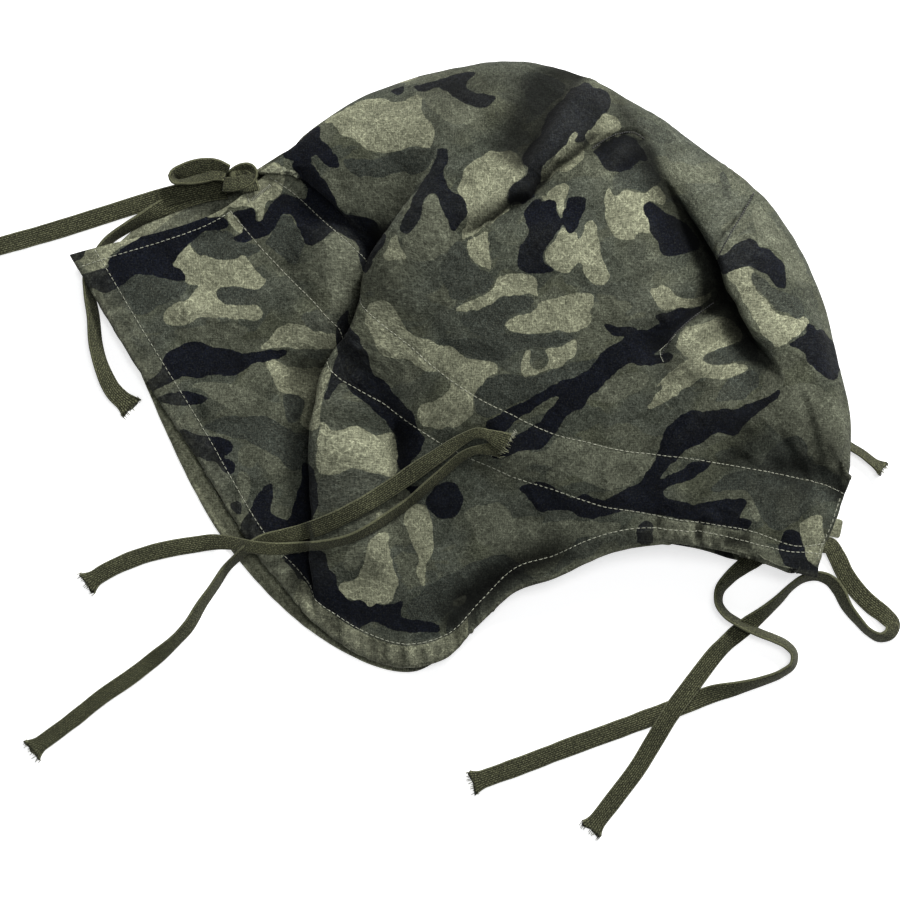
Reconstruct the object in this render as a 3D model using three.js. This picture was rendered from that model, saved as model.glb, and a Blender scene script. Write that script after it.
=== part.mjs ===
// A soft cotton bonnet with a neck cape and ear flaps, lying on its side on a flat surface.
// Millimetres. +X points to the brow, +Y to the top of the crown, +Z up from the surface.
import * as THREE from 'three';

// Cloth
const clothThickness = 1.5;
const seamHeight = 13;
const seamGap = 0.4;
const lowestNearCloth = 7.6;
const floorClearance = 0.2;

// How the near side rises from the centre seam, as shares of the way across to the upper
// stitches and of the climb to the crown
const crownProfile = {
  roll: { across: 0.005, climb: 0.3 },
  shoulder: { across: 0.1, climb: 0.68 },
  crown: { across: 0.45, climb: 1 },
};
const farRollShare = 0.45;

// Folds are measured from this many points along their paths, and fade out over this share of
// the path at both ends
const foldSamples = 40;
const foldEnd = 0.15;

// Ties: flat woven tape, drawn a little narrower than it is where it lies twisted
const tapeWidth = 5.2;
const tapeThickness = 1.6;
const tapeCorner = 0.5;

// How many facets each stretch between two columns or two sections is cut into
const nearColumnSplits = [1, 2, 7, 7, 3, 7];
const farColumnSplits = [2, 2, 4, 4];
const farRowSplits = 3;
const rowSplits = [2, 3, 3, 3, 3, 3, 2, 2, 2, 2, 3, 4, 5, 5, 4, 3, 2, 2];

// Places of the columns from the centre seam (0) to the hem (1), close to the cloth's own length
const nearKnots = [0, 0.04, 0.11, 0.32, 0.6, 0.72, 1];
const farKnots = [0, 0.05, 0.12, 0.5, 1];

// The near side, one row per section from the brow to the back of the neck. seam, upper, lower
// and hem are where the section crosses the centre seam, the two rows of casing stitches and
// the hem. The heights are how high the cloth stands midway up the crown and at upper, lower
// and hem.
const nearSections = [
  { seam: [163, -43], upper: [161, -55], lower: [153, -75], hem: [150, -89], heights: [17, 16, 12, 9] },
  { seam: [162, -22], upper: [151, -50], lower: [140, -76], hem: [138, -86], heights: [27, 24, 20, 17] },
  { seam: [158, 2], upper: [134, -46], lower: [122, -70], hem: [123, -81], heights: [35, 29, 26, 22] },
  { seam: [152, 27], upper: [117, -43], lower: [106, -67], hem: [106, -77], heights: [42, 33, 29, 24] },
  { seam: [138, 55], upper: [100, -40], lower: [91, -65], hem: [92, -75], heights: [47, 36, 31, 25] },
  { seam: [124, 73], upper: [83, -38], lower: [75, -62], hem: [75, -76], heights: [51, 38, 32, 25] },
  { seam: [100, 92], upper: [66, -36], lower: [58, -59], hem: [58, -80], heights: [54, 40, 33, 23] },
  { seam: [75, 109], upper: [50, -32], lower: [41, -53], hem: [39, -89], heights: [56, 42, 34, 20] },
  { seam: [50, 121], upper: [35, -28], lower: [24, -48], hem: [22, -95], heights: [57, 43, 34, 17] },
  { seam: [26, 128], upper: [16, -19], lower: [12, -43], hem: [8, -108], heights: [57, 44, 34, 13] },
  { seam: [-1, 124], upper: [1, -11], lower: [-3, -36], hem: [-8, -122], heights: [56, 44, 33, 10] },
  { seam: [-18, 121], upper: [-10, -3], lower: [-17, -28], hem: [-26, -123], heights: [53, 43, 32, 9] },
  { seam: [-33, 116], upper: [-22, 8], lower: [-31, -18], hem: [-46, -116], heights: [44, 41, 30, 8.5] },
  { seam: [-47, 109], upper: [-34, 25], lower: [-48, -3], hem: [-61, -107], heights: [35, 27, 21, 8.5] },
  { seam: [-58, 102], upper: [-38, 34], lower: [-54, 12], hem: [-71, -98], heights: [30, 14, 12.5, 8.5] },
  { seam: [-66, 96], upper: [-46, 44], lower: [-61, 22], hem: [-88, -76], heights: [27, 15, 13.5, 8.5] },
  { seam: [-71, 91], upper: [-56, 57], lower: [-74, 38], hem: [-112, -38], heights: [22, 16, 13.5, 8.5] },
  { seam: [-76, 88], upper: [-68, 71], lower: [-86, 51], hem: [-140, 5], heights: [18, 15.5, 12.5, 8.5] },
  { seam: [-81, 86], upper: [-78, 83], lower: [-99, 67], hem: [-165, 47], heights: [16.5, 16, 10.5, 8] },
];

// The far side under it. turn is where the cloth has come down to the surface.
const farSections = [
  { seam: [163, -43], turn: [162, -50], middle: [160, -62], hem: [151, -83] },
  { seam: [158, 2], turn: [152, -4], middle: [140, -38], hem: [124, -83] },
  { seam: [138, 55], turn: [130, 47], middle: [113, -8], hem: [96, -75] },
  { seam: [100, 92], turn: [94, 82], middle: [76, 9], hem: [61, -73] },
  { seam: [50, 121], turn: [48, 109], middle: [36, 16], hem: [26, -88] },
  { seam: [-1, 124], turn: [0, 112], middle: [-2, 3], hem: [-4, -122] },
  { seam: [-18, 121], turn: [-17, 109], middle: [-18, -3], hem: [-18, -128] },
  { seam: [-47, 109], turn: [-44, 99], middle: [-48, -6], hem: [-56, -117] },
  { seam: [-66, 96], turn: [-63, 88], middle: [-79, 8], hem: [-96, -76] },
  { seam: [-76, 88], turn: [-75, 80], middle: [-104, 36], hem: [-134, -16] },
  { seam: [-81, 86], turn: [-87, 79], middle: [-125, 66], hem: [-152, 44] },
];

// Folds of the near side on the plan. rise is positive on a ridge and negative in a valley;
// left and right are its half widths on each side of the path, seen along it; push leans the
// cloth over to the left.
const folds = [
  { path: [[-12, 90], [-20, 66], [-30, 48], [-35, 22], [-44, -4], [-55, -25], [-57, -60], [-58, -100]],
    rise: 6, left: 8, right: 22, push: -5 },
  { path: [[-14, 88], [-26, 64], [-37, 45], [-46, 18], [-57, -8], [-64, -35], [-66, -60], [-68, -98]],
    rise: -8, left: 20, right: 9, push: 0 },
  { path: [[48, 119], [40, 104], [31, 91], [23, 80]], rise: -9, left: 9, right: 7, push: 0 },
  { path: [[55, 84], [41, 81], [24, 69], [8, 57], [-2, 50]], rise: -6, left: 9, right: 9, push: 0 },
  { path: [[76, 98], [87, 76], [100, 50], [109, 27], [121, 10], [132, -4]],
    rise: -8, left: 17, right: 14, push: 0 },
  { path: [[96, 90], [112, 55], [128, 19], [142, -15], [155, -44]],
    rise: 4, left: 12, right: 12, push: 0 },
  { path: [[104, 28], [98, 22], [90, 17], [82, 6]], rise: -5, left: 10, right: 10, push: 0 },
  { path: [[-42, -32], [-40, -60], [-36, -92]], rise: 4, left: 12, right: 12, push: 0 },
  { path: [[-25, -28], [-26, -50], [-22, -80]], rise: -4, left: 8, right: 8, push: 0 },
  { path: [[-70, 34], [-92, 22], [-122, 18]], rise: 4, left: 13, right: 10, push: 0 },
  { path: [[-74, -2], [-92, -12], [-112, -20]], rise: 4, left: 12, right: 12, push: 0 },
  { path: [[100, -22], [96, -44], [92, -66]], rise: -3, left: 8, right: 8, push: 0 },
  { path: [[140, -28], [124, -52], [112, -72]], rise: -3, left: 8, right: 8, push: 0 },
];

const tabSize = { x: 161.5, y: -68.8, width: 5.6, length: 8, thickness: 1.2, turn: -0.2 };
const knotSize = { x: -92.5, y: 79.6, z: 8.2, length: 13, width: 9, height: 6.5, turn: 0.2 };

// Routes of the ties, from where each leaves the bonnet to its free end
const ties = {
  tie_ear_upper: {
    steps: 15,
    route: [
      [16.8, -31.9, 41.6], [12.6, -30.7, 41.9], [8.4, -29, 41.8], [4.2, -28.6, 40.6], [-0.8, -30.2, 38.3],
      [-9.2, -34.9, 34.6], [-17.6, -39.5, 31], [-26, -44.5, 28], [-34.4, -51.2, 26.4], [-42.8, -56.7, 24.6],
      [-51.2, -60.9, 20], [-59.6, -65.1, 16.4], [-68, -68.9, 13], [-76.4, -71.2, 11.2], [-84, -73.5, 10.8],
      [-89.9, -76.9, 11], [-94.9, -81.1, 7.2], [-100, -86.1, 2.8], [-105, -93.7, 1], [-110, -100.8, 1],
      [-115.9, -110.5, 1], [-123.5, -118.4, 1], [-131, -124.7, 1], [-140.3, -131.9, 1], [-152, -139.9, 1],
      [-164.6, -149.9, 1], [-182.3, -163, 1],
    ],
  },
  tie_ear_lower: {
    steps: 11,
    route: [
      [16, -35.7, 39.6], [10.9, -35.3, 39.3], [5.9, -35.7, 38.2], [0.8, -37.8, 36], [-5.9, -43.3, 32.4],
      [-13.4, -50, 28.6], [-21, -56.7, 25], [-29.4, -62.6, 24.2], [-38.6, -68.5, 25.4], [-47, -72.7, 20.4],
      [-55.4, -74.8, 16.4], [-68, -76.4, 13], [-78.5, -77.3, 14.6], [-84, -77, 15], [-89, -76.4, 14],
      [-94.1, -75.6, 9.4], [-100, -74.8, 5.8], [-106.7, -74.8, 2.2], [-112.1, -75.6, 1], [-122.6, -77.3, 1],
      [-133.1, -79.8, 1], [-143.6, -83.6, 1], [-152, -87.8, 1], [-158.8, -92.4, 1],
    ],
  },
  tie_front_upper: {
    steps: 15,
    route: [
      [152, -75.6, 3], [155.8, -76.2, 2.8], [158.8, -80.6, 2], [162.5, -88.2, 1.2], [167.6, -95.3, 1],
      [173.9, -101.6, 1], [179.3, -105.8, 1], [182.7, -110, 1], [181.4, -113.4, 1], [177.2, -115.1, 1],
      [172.6, -113, 1], [167.6, -107.9, 1], [163, -102.1, 1], [159.6, -95.3, 1], [156.2, -91.1, 1],
      [151.2, -89, 1], [144.1, -90.3, 1], [139.9, -93.2, 1], [133.6, -99.5, 1], [127.3, -105, 1],
      [121, -110, 1], [114.7, -115, 1.2], [108.4, -121, 1.8], [102.1, -128.9, 2.6], [95.8, -137.3, 3.6],
      [89.5, -145.7, 3.8], [85, -153, 3.2], [81.1, -159.6, 2], [74.8, -170.1, 1], [66.4, -181.4, 1],
      [54.6, -196.6, 1],
    ],
  },
  tie_front_lower: {
    steps: 15,
    route: [
      [131.9, -72.7, 2.7], [126, -80.2, 2.9], [118.9, -85.3, 2.6], [113.4, -89.9, 1], [109.2, -95.3, 1],
      [108.8, -100.4, 1.4], [111.7, -105, 2.6], [117.2, -108.8, 3.4], [121.8, -111.3, 3.5],
      [126.8, -113.4, 2.8],
      [132.3, -115.5, 1.5], [137.3, -118, 1], [140.7, -121.8, 1], [140.3, -126.4, 1], [135.7, -130.2, 1],
      [127.3, -133.6, 1], [116.8, -136.5, 1], [106.3, -139, 1], [97.9, -142.4, 1], [83.2, -147.8, 1],
      [66.4, -154.1, 1], [45.4, -161.7, 1], [24.4, -169.7, 1], [4.6, -176.8, 1],
    ],
  },
  tie_ear_far: {
    steps: 2,
    route: [[162.4, -32.6, 1], [165, -34.4, 1], [169.3, -37, 1], [174.7, -41.2, 1], [178.1, -43.6, 1]],
  },
  back_lead: {
    steps: 3,
    route: [[-87.2, 71, 15], [-87.8, 73.6, 15.1], [-88.6, 76.4, 14.4], [-89.8, 78.9, 12.4]],
  },
  back_loop: {
    steps: 10,
    upright: true,
    route: [
      [-98.6, 81.8, 9], [-103.7, 84.4, 8.4], [-110.9, 84.6, 7.4], [-117.6, 82.4, 7], [-122.4, 79.4, 6.8],
      [-121.6, 77.6, 6.8], [-117, 77.2, 6.8], [-110, 78.6, 7.2], [-104, 80.4, 8.7], [-99.8, 80.2, 9.3],
    ],
  },
  tie_back_long: {
    steps: 6,
    route: [
      [-99.8, 78.2, 5.4], [-105, 76.2, 4.4], [-112.1, 73.8, 3.4], [-122.6, 70.1, 2.8], [-135.2, 66.4, 1.8],
      [-152, 61.7, 1], [-173, 56.3, 1], [-199.9, 49.6, 1],
    ],
  },
  tie_back_short: {
    steps: 7,
    route: [
      [-99.4, 71.6, 4.2], [-105, 68.6, 3.2], [-112.1, 66.2, 2.8], [-120.5, 64.7, 2.8], [-131, 60.9, 2.8],
      [-141.5, 55.4, 2.8], [-150.8, 50.4, 2.8], [-155.8, 45.8, 2.4], [-158.3, 39, 1.8], [-157.9, 31.5, 1.2],
      [-156.2, 21, 1], [-155, 8.4, 1], [-152, -2.1, 1], [-147.8, -10.5, 1], [-140.3, -17.6, 1],
    ],
  },
};

// The weight of each knot's value at a place on a smooth curve through all of them
function curveWeights(knots, place) {
  const last = knots.length - 1;
  let from = 0;
  while (from < last - 1 && place > knots[from + 1]) from += 1;
  const length = knots[from + 1] - knots[from];
  const t = (place - knots[from]) / length;
  const weights = new Array(knots.length).fill(0);
  const addSlope = (knot, amount) => {
    const before = Math.max(knot - 1, 0);
    const after = Math.min(knot + 1, last);
    const share = (low, high, part) => {
      weights[high] += part * amount / (knots[high] - knots[low]);
      weights[low] -= part * amount / (knots[high] - knots[low]);
    };
    if (before === knot || after === knot) {
      share(before, after, 1);
      return;
    }
    const span = knots[after] - knots[before];
    share(before, knot, (knots[after] - knots[knot]) / span);
    share(knot, after, (knots[knot] - knots[before]) / span);
  };
  weights[from] += 2 * t ** 3 - 3 * t ** 2 + 1;
  weights[from + 1] += 3 * t ** 2 - 2 * t ** 3;
  addSlope(from, (t ** 3 - 2 * t ** 2 + t) * length);
  addSlope(from + 1, (t ** 3 - t ** 2) * length);
  return weights;
}

// Places along the knots, cut evenly within each stretch
function places(knots, splits) {
  const list = [knots[0]];
  for (let i = 0; i < knots.length - 1; i += 1) {
    for (let j = 1; j <= splits[i]; j += 1) {
      list.push(knots[i] + (knots[i + 1] - knots[i]) * j / splits[i]);
    }
  }
  return list;
}

// Points of a smooth surface through a net of section points
function surface(net, rowKnots, rowPlaces, columnKnots, columnPlaces) {
  const columnWeights = columnPlaces.map((place) => curveWeights(columnKnots, place));
  return rowPlaces.map((rowPlace) => {
    const rowWeights = curveWeights(rowKnots, rowPlace);
    return columnWeights.map((weights) => {
      const point = new THREE.Vector3();
      rowWeights.forEach((rowWeight, row) => {
        if (rowWeight === 0) return;
        weights.forEach((weight, column) => {
          point.addScaledVector(net[row][column], rowWeight * weight);
        });
      });
      return point;
    });
  });
}

const mix = (a, b, t) => a + (b - a) * t;

// The near side's seven columns: seam, roll, shoulder, crown, upper, lower and hem
function nearNet(section) {
  const [seamX, seamY] = section.seam;
  const [upperX, upperY] = section.upper;
  const [crownZ, upperZ, lowerZ, hemZ] = section.heights;
  const between = ({ across, climb }) => new THREE.Vector3(
    mix(seamX, upperX, across), mix(seamY, upperY, across), mix(seamHeight, crownZ, climb));
  return [
    new THREE.Vector3(seamX, seamY, seamHeight),
    between(crownProfile.roll),
    between(crownProfile.shoulder),
    between(crownProfile.crown),
    new THREE.Vector3(upperX, upperY, upperZ),
    new THREE.Vector3(...section.lower, lowerZ),
    new THREE.Vector3(...section.hem, hemZ),
  ];
}

// The far side's five columns: seam, roll, turn, middle and hem
function farNet(section) {
  const top = seamHeight - seamGap;
  return [
    new THREE.Vector3(...section.seam, top),
    new THREE.Vector3(...section.seam, farRollShare * top),
    new THREE.Vector3(...section.turn, 0),
    new THREE.Vector3(...section.middle, 0),
    new THREE.Vector3(...section.hem, 0),
  ];
}

// Knots for the rows: the girth run so far, halfway between seam and hem
function girthKnots(net) {
  const knots = [0];
  for (let row = 1; row < net.length; row += 1) {
    const last = net[row].length - 1;
    const seamStep = net[row][0].distanceTo(net[row - 1][0]);
    const hemStep = net[row][last].distanceTo(net[row - 1][last]);
    knots.push(knots[row - 1] + (seamStep + hemStep) / 2);
  }
  return knots;
}

// A smooth hump of height 1 at 0 that is gone at a distance of 1
const hump = (distance) => Math.max(0, 1 - distance * distance) ** 2;

// Each fold with points along its path and the path's direction at each
const foldCurves = folds.map((fold) => {
  const curve = new THREE.CatmullRomCurve3(fold.path.map(([x, y]) => new THREE.Vector3(x, y, 0)));
  const samples = curve.getSpacedPoints(foldSamples);
  const directions = samples.map((_, i) => {
    const before = samples[Math.max(i - 1, 0)];
    const after = samples[Math.min(i + 1, foldSamples)];
    return new THREE.Vector2(after.x - before.x, after.y - before.y).normalize();
  });
  return { ...fold, samples, directions };
});

// Lifts and leans a point by every fold whose path it is near
function foldedPoint(point) {
  const moved = point.clone();
  for (const fold of foldCurves) {
    let nearest = Infinity;
    let index = 0;
    fold.samples.forEach((sample, i) => {
      const distance = Math.hypot(point.x - sample.x, point.y - sample.y);
      if (distance < nearest) {
        nearest = distance;
        index = i;
      }
    });
    const along = fold.directions[index];
    const offset = new THREE.Vector2(point.x - fold.samples[index].x, point.y - fold.samples[index].y);
    const side = along.x * offset.y - along.y * offset.x;
    const width = side > 0 ? fold.left : fold.right;
    const t = index / foldSamples;
    const fade = Math.min(1, t / foldEnd, (1 - t) / foldEnd);
    const amount = hump(nearest / width) * fade * fade * (3 - 2 * fade);
    moved.z += fold.rise * amount;
    moved.x += -along.y * fold.push * amount;
    moved.y += along.x * fold.push * amount;
  }
  moved.z = Math.max(moved.z, Math.min(point.z, lowestNearCloth));
  return moved;
}

// Unit normals of a grid of points, turned over when side is -1
function gridNormals(grid, side) {
  const rows = grid.length;
  const columns = grid[0].length;
  return grid.map((line, i) => line.map((_, j) => {
    const alongRows = new THREE.Vector3().subVectors(
      grid[Math.min(i + 1, rows - 1)][j], grid[Math.max(i - 1, 0)][j]);
    const alongColumns = new THREE.Vector3().subVectors(
      grid[i][Math.min(j + 1, columns - 1)], grid[i][Math.max(j - 1, 0)]);
    return alongRows.cross(alongColumns).normalize().multiplyScalar(side);
  }));
}

// A closed wall of cloth between a grid of outer points and the grid one thickness behind it
function clothWall(outer, side, thickness) {
  const normals = gridNormals(outer, side);
  const inner = outer.map((line, i) => line.map((point, j) => (
    point.clone().addScaledVector(normals[i][j], -thickness))));
  const rows = outer.length;
  const columns = outer[0].length;
  const positions = [];
  [...outer.flat(), ...inner.flat()].forEach((point) => positions.push(point.x, point.y, point.z));
  const outerAt = (i, j) => i * columns + j;
  const innerAt = (i, j) => rows * columns + i * columns + j;
  const index = [];
  const quad = (a, b, c, d) => {
    if (side > 0) index.push(a, c, b, a, d, c);
    else index.push(a, b, c, a, c, d);
  };
  for (let i = 0; i < rows - 1; i += 1) {
    for (let j = 0; j < columns - 1; j += 1) {
      quad(outerAt(i, j), outerAt(i, j + 1), outerAt(i + 1, j + 1), outerAt(i + 1, j));
      quad(innerAt(i, j), innerAt(i + 1, j), innerAt(i + 1, j + 1), innerAt(i, j + 1));
    }
  }
  for (let i = 0; i < rows - 1; i += 1) {
    const end = columns - 1;
    quad(outerAt(i, 0), outerAt(i + 1, 0), innerAt(i + 1, 0), innerAt(i, 0));
    quad(outerAt(i + 1, end), outerAt(i, end), innerAt(i, end), innerAt(i + 1, end));
  }
  for (let j = 0; j < columns - 1; j += 1) {
    const end = rows - 1;
    quad(outerAt(0, j + 1), outerAt(0, j), innerAt(0, j), innerAt(0, j + 1));
    quad(outerAt(end, j), outerAt(end, j + 1), innerAt(end, j + 1), innerAt(end, j));
  }
  const geometry = new THREE.BufferGeometry();
  geometry.setAttribute('position', new THREE.Float32BufferAttribute(positions, 3));
  geometry.setIndex(index);
  return geometry;
}

const camouflageCloth = { color: 0x6a6e60, roughness: 0.95, metalness: 0 };
const facingCloth = { color: 0x8a8a70, roughness: 0.95, metalness: 0 };
const oliveTape = { color: 0x5c5c3e, roughness: 0.9, metalness: 0 };

const bonnet = new THREE.Group();

function addPiece(name, geometry, finish) {
  const mesh = new THREE.Mesh(geometry, new THREE.MeshStandardMaterial(finish));
  mesh.name = name;
  bonnet.add(mesh);
}

function nearPanel() {
  const net = nearSections.map(nearNet);
  const rowKnots = girthKnots(net);
  const rowPlaces = places(rowKnots, rowSplits);
  const grid = surface(net, rowKnots, rowPlaces, nearKnots, places(nearKnots, nearColumnSplits));
  return clothWall(grid.map((line) => line.map(foldedPoint)), 1, clothThickness);
}

function farPanel() {
  const net = farSections.map(farNet);
  const rowKnots = girthKnots(net);
  const rowPlaces = places(rowKnots, farSections.map(() => farRowSplits));
  const grid = surface(net, rowKnots, rowPlaces, farKnots, places(farKnots, farColumnSplits));
  grid.flat().forEach((point) => point.setZ(Math.max(point.z, 0)));
  return clothWall(grid, -1, clothThickness);
}

// A small folded loop of cloth sewn to the far side at the front centre
function frontTab() {
  const geometry = new THREE.BoxGeometry(tabSize.width, tabSize.length, tabSize.thickness);
  geometry.rotateZ(tabSize.turn);
  geometry.translate(tabSize.x, tabSize.y, tabSize.thickness / 2 + floorClearance);
  return geometry;
}

// A smooth route whose sideways direction always stays level, so that tape lies flat on it
class LevelRoute extends THREE.CatmullRomCurve3 {
  computeFrenetFrames(segments) {
    const up = new THREE.Vector3(0, 0, 1);
    const tangents = Array.from({ length: segments + 1 }, (_, i) => this.getTangentAt(i / segments));
    const binormals = tangents.map((tangent) => tangent.clone().cross(up).normalize());
    const normals = tangents.map((tangent, i) => binormals[i].clone().cross(tangent));
    return { tangents, normals, binormals };
  }
}

// A flat tape with bevelled edges along a route; upright tape stands on its edge
function tape({ route, steps, upright = false }) {
  const curve = new LevelRoute(route.map(([x, y, z]) => new THREE.Vector3(x, y, z)));
  const halfUp = (upright ? tapeWidth : tapeThickness) / 2;
  const halfAcross = (upright ? tapeThickness : tapeWidth) / 2;
  const outline = new THREE.Shape([
    new THREE.Vector2(halfUp, halfAcross - tapeCorner),
    new THREE.Vector2(halfUp - tapeCorner, halfAcross),
    new THREE.Vector2(tapeCorner - halfUp, halfAcross),
    new THREE.Vector2(-halfUp, halfAcross - tapeCorner),
    new THREE.Vector2(-halfUp, tapeCorner - halfAcross),
    new THREE.Vector2(tapeCorner - halfUp, -halfAcross),
    new THREE.Vector2(halfUp - tapeCorner, -halfAcross),
    new THREE.Vector2(halfUp, tapeCorner - halfAcross),
  ]);
  return new THREE.ExtrudeGeometry(outline, { steps, extrudePath: curve });
}

// The small wrap that holds the back bow together
function backKnot() {
  const geometry = new THREE.SphereGeometry(1, 12, 8);
  geometry.scale(knotSize.length / 2, knotSize.width / 2, knotSize.height / 2);
  geometry.rotateZ(knotSize.turn);
  geometry.translate(knotSize.x, knotSize.y, knotSize.z);
  return geometry;
}

addPiece('panel_near', nearPanel(), camouflageCloth);
addPiece('panel_far', farPanel(), camouflageCloth);
addPiece('front_tab', frontTab(), facingCloth);
addPiece('back_knot', backKnot(), oliveTape);
Object.entries(ties).forEach(([name, tie]) => addPiece(name, tape(tie), oliveTape));

export default bonnet;
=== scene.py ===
import math

import bpy
import numpy as np
from mathutils.bvhtree import BVHTree
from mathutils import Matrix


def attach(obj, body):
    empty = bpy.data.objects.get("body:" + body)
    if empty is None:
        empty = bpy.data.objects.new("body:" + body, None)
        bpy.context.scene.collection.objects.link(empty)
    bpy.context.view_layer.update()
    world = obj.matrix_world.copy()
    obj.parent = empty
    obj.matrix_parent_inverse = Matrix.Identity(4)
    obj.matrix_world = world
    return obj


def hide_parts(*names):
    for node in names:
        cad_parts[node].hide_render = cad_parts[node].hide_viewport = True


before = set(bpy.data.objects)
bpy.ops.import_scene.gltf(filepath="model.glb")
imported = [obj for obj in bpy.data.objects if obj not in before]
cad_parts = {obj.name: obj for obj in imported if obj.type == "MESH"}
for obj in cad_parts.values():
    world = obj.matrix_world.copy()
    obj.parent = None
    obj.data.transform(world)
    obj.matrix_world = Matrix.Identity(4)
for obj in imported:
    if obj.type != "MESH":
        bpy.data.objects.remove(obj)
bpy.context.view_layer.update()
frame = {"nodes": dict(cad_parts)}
mm = 0.001
print("frame loaded")


# stage: a pale floor, soft light and a camera that looks straight down

stage = {
    "cameraAt": (-5.0, -35.7),  # mm, the middle of the picture
    "cameraHeight": 2020.0,  # mm above the floor
    "cameraReach": 10.0,  # m
    "viewWidth": 378.0,  # mm across the picture at the height of the cloth
    "clothHeight": 20.0,  # mm, where what was measured in the picture is true to scale
    "sensor": 36.0,
    "floorSize": 6.0,  # m
    "skyColour": (0.93, 0.95, 1.0, 1.0),
    "skyStrength": 0.16,
}
floorPaint = {
    "Base Color": (0.8, 0.8, 0.8, 1.0),
    "Roughness": 0.9,
    "Specular IOR Level": 0.1,
    "Emission Color": (1.0, 1.0, 1.0, 1.0),
    "Emission Strength": 0.65,
}
lamps = [
    {"name": "key", "at": (0.95, 1.65, 1.4), "size": 0.7, "power": 78.0, "colour": (1.0, 0.985, 0.96)},
    {"name": "overhead", "at": (0.5, 0.6, 3.2), "size": 1.0, "power": 32.0, "colour": (1.0, 1.0, 1.0)},
    {"name": "fill", "at": (-1.3, -0.7, 1.5), "size": 1.4, "power": 2.5, "colour": (0.95, 0.98, 1.0)},
]


def addToScene(name, data):
    thing = bpy.data.objects.new(name, data)
    bpy.context.scene.collection.objects.link(thing)
    return thing


def aim(thing, target):
    # a camera or a lamp looks along its own -Z
    direction = np.array(target) - np.array(thing.location)
    flat = math.hypot(direction[0], direction[1])
    thing.rotation_euler = (math.atan2(flat, -direction[2]), 0.0, math.atan2(-direction[0], direction[1]))


def makeStage():
    cameraData = bpy.data.cameras.new("camera")
    cameraData.sensor_width = stage["sensor"]
    cameraData.lens = stage["sensor"] * (stage["cameraHeight"] - stage["clothHeight"]) / stage["viewWidth"]
    cameraData.clip_end = stage["cameraReach"]
    camera = addToScene("camera", cameraData)
    camera.location = (stage["cameraAt"][0] * mm, stage["cameraAt"][1] * mm, stage["cameraHeight"] * mm)
    bpy.context.scene.camera = camera
    bpy.context.scene.view_settings.view_transform = "Standard"
    for lamp in lamps:
        lightData = bpy.data.lights.new(lamp["name"], "AREA")
        lightData.shape = "DISK"
        lightData.size = lamp["size"]
        lightData.energy = lamp["power"]
        lightData.color = lamp["colour"]
        light = addToScene(lamp["name"], lightData)
        light.location = lamp["at"]
        aim(light, (0.0, 0.0, 0.0))
    world = bpy.data.worlds.new("sky")
    world.use_nodes = True
    background = world.node_tree.nodes["Background"]
    background.inputs["Color"].default_value = stage["skyColour"]
    background.inputs["Strength"].default_value = stage["skyStrength"]
    bpy.context.scene.world = world
    half = stage["floorSize"] / 2
    floorMesh = bpy.data.meshes.new("floor")
    corners = [(-half, -half, 0.0), (half, -half, 0.0), (half, half, 0.0), (-half, half, 0.0)]
    floorMesh.from_pydata(corners, [], [(0, 1, 2, 3)])
    material = bpy.data.materials.new("floorPaint")
    material.use_nodes = True
    for key, value in floorPaint.items():
        material.node_tree.nodes["Principled BSDF"].inputs[key].default_value = value
    floorMesh.materials.append(material)
    addToScene("floor", floorMesh)


makeStage()
print("stage ready")


# shared surface and mesh helpers; all shapes are worked out in millimetres

def hermiteMatrix(knots, places):
    # weights of the knots' values on a smooth curve through them all: cubic Hermite pieces, where the
    # slope at a knot is the mean of its two chords, each weighed by the length of the other
    knots = np.asarray(knots, float)
    count = len(knots)
    lengths = np.diff(knots)
    values = np.eye(count)
    chords = (values[1:] - values[:-1]) / lengths[:, None]
    slopes = np.zeros((count, count))
    slopes[0] = chords[0]
    slopes[-1] = chords[-1]
    span = (lengths[:-1] + lengths[1:])[:, None]
    slopes[1:-1] = (chords[:-1] * lengths[1:, None] + chords[1:] * lengths[:-1, None]) / span
    cell = np.clip(np.searchsorted(knots, places, side="right") - 1, 0, count - 2)
    t = ((places - knots[cell]) / lengths[cell])[:, None]
    length = lengths[cell][:, None]
    result = (2 * t**3 - 3 * t**2 + 1) * values[cell] + (3 * t**2 - 2 * t**3) * values[cell + 1]
    result += (t**3 - 2 * t**2 + t) * length * slopes[cell] + (t**3 - t**2) * length * slopes[cell + 1]
    return result


def runLengths(points):
    # distance run along a polyline at each of its points
    steps = np.linalg.norm(np.diff(points, axis=0), axis=1)
    return np.concatenate([[0.0], np.cumsum(steps)])


def smoothPath(points, step):
    # a smooth curve through given points, cut into even steps
    points = np.asarray(points, float)
    knots = runLengths(points)
    fine = hermiteMatrix(knots, np.linspace(0, knots[-1], len(points) * 30)) @ points
    run = runLengths(fine)
    places = np.linspace(0, run[-1], max(3, int(round(run[-1] / step)) + 1))
    return np.stack([np.interp(places, run, fine[:, axis]) for axis in range(points.shape[1])], axis=1)


def softNoise(x, y, size, seed):
    # random heights from -1 to 1 on a square lattice, blended by 6t^5 - 15t^4 + 10t^3
    count = 97
    lattice = np.random.default_rng(seed).uniform(-1.0, 1.0, (count, count))
    gridX = x / size + 40.0
    gridY = y / size + 40.0
    cellX = np.floor(gridX).astype(int)
    cellY = np.floor(gridY).astype(int)
    tx = gridX - cellX
    ty = gridY - cellY
    tx = tx**3 * (tx * (6 * tx - 15) + 10)
    ty = ty**3 * (ty * (6 * ty - 15) + 10)

    def blended(row):
        return lattice[cellX % count, row % count] * (1 - tx) + lattice[(cellX + 1) % count, row % count] * tx

    return blended(cellY) * (1 - ty) + blended(cellY + 1) * ty


def smoothStep(low, high, value):
    t = np.clip((value - low) / (high - low), 0.0, 1.0)
    return t * t * (3 - 2 * t)


def hump(distance):
    # 1 at 0, gone at a distance of 1, level at both
    return np.clip(1 - distance * distance, 0.0, None) ** 2


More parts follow.
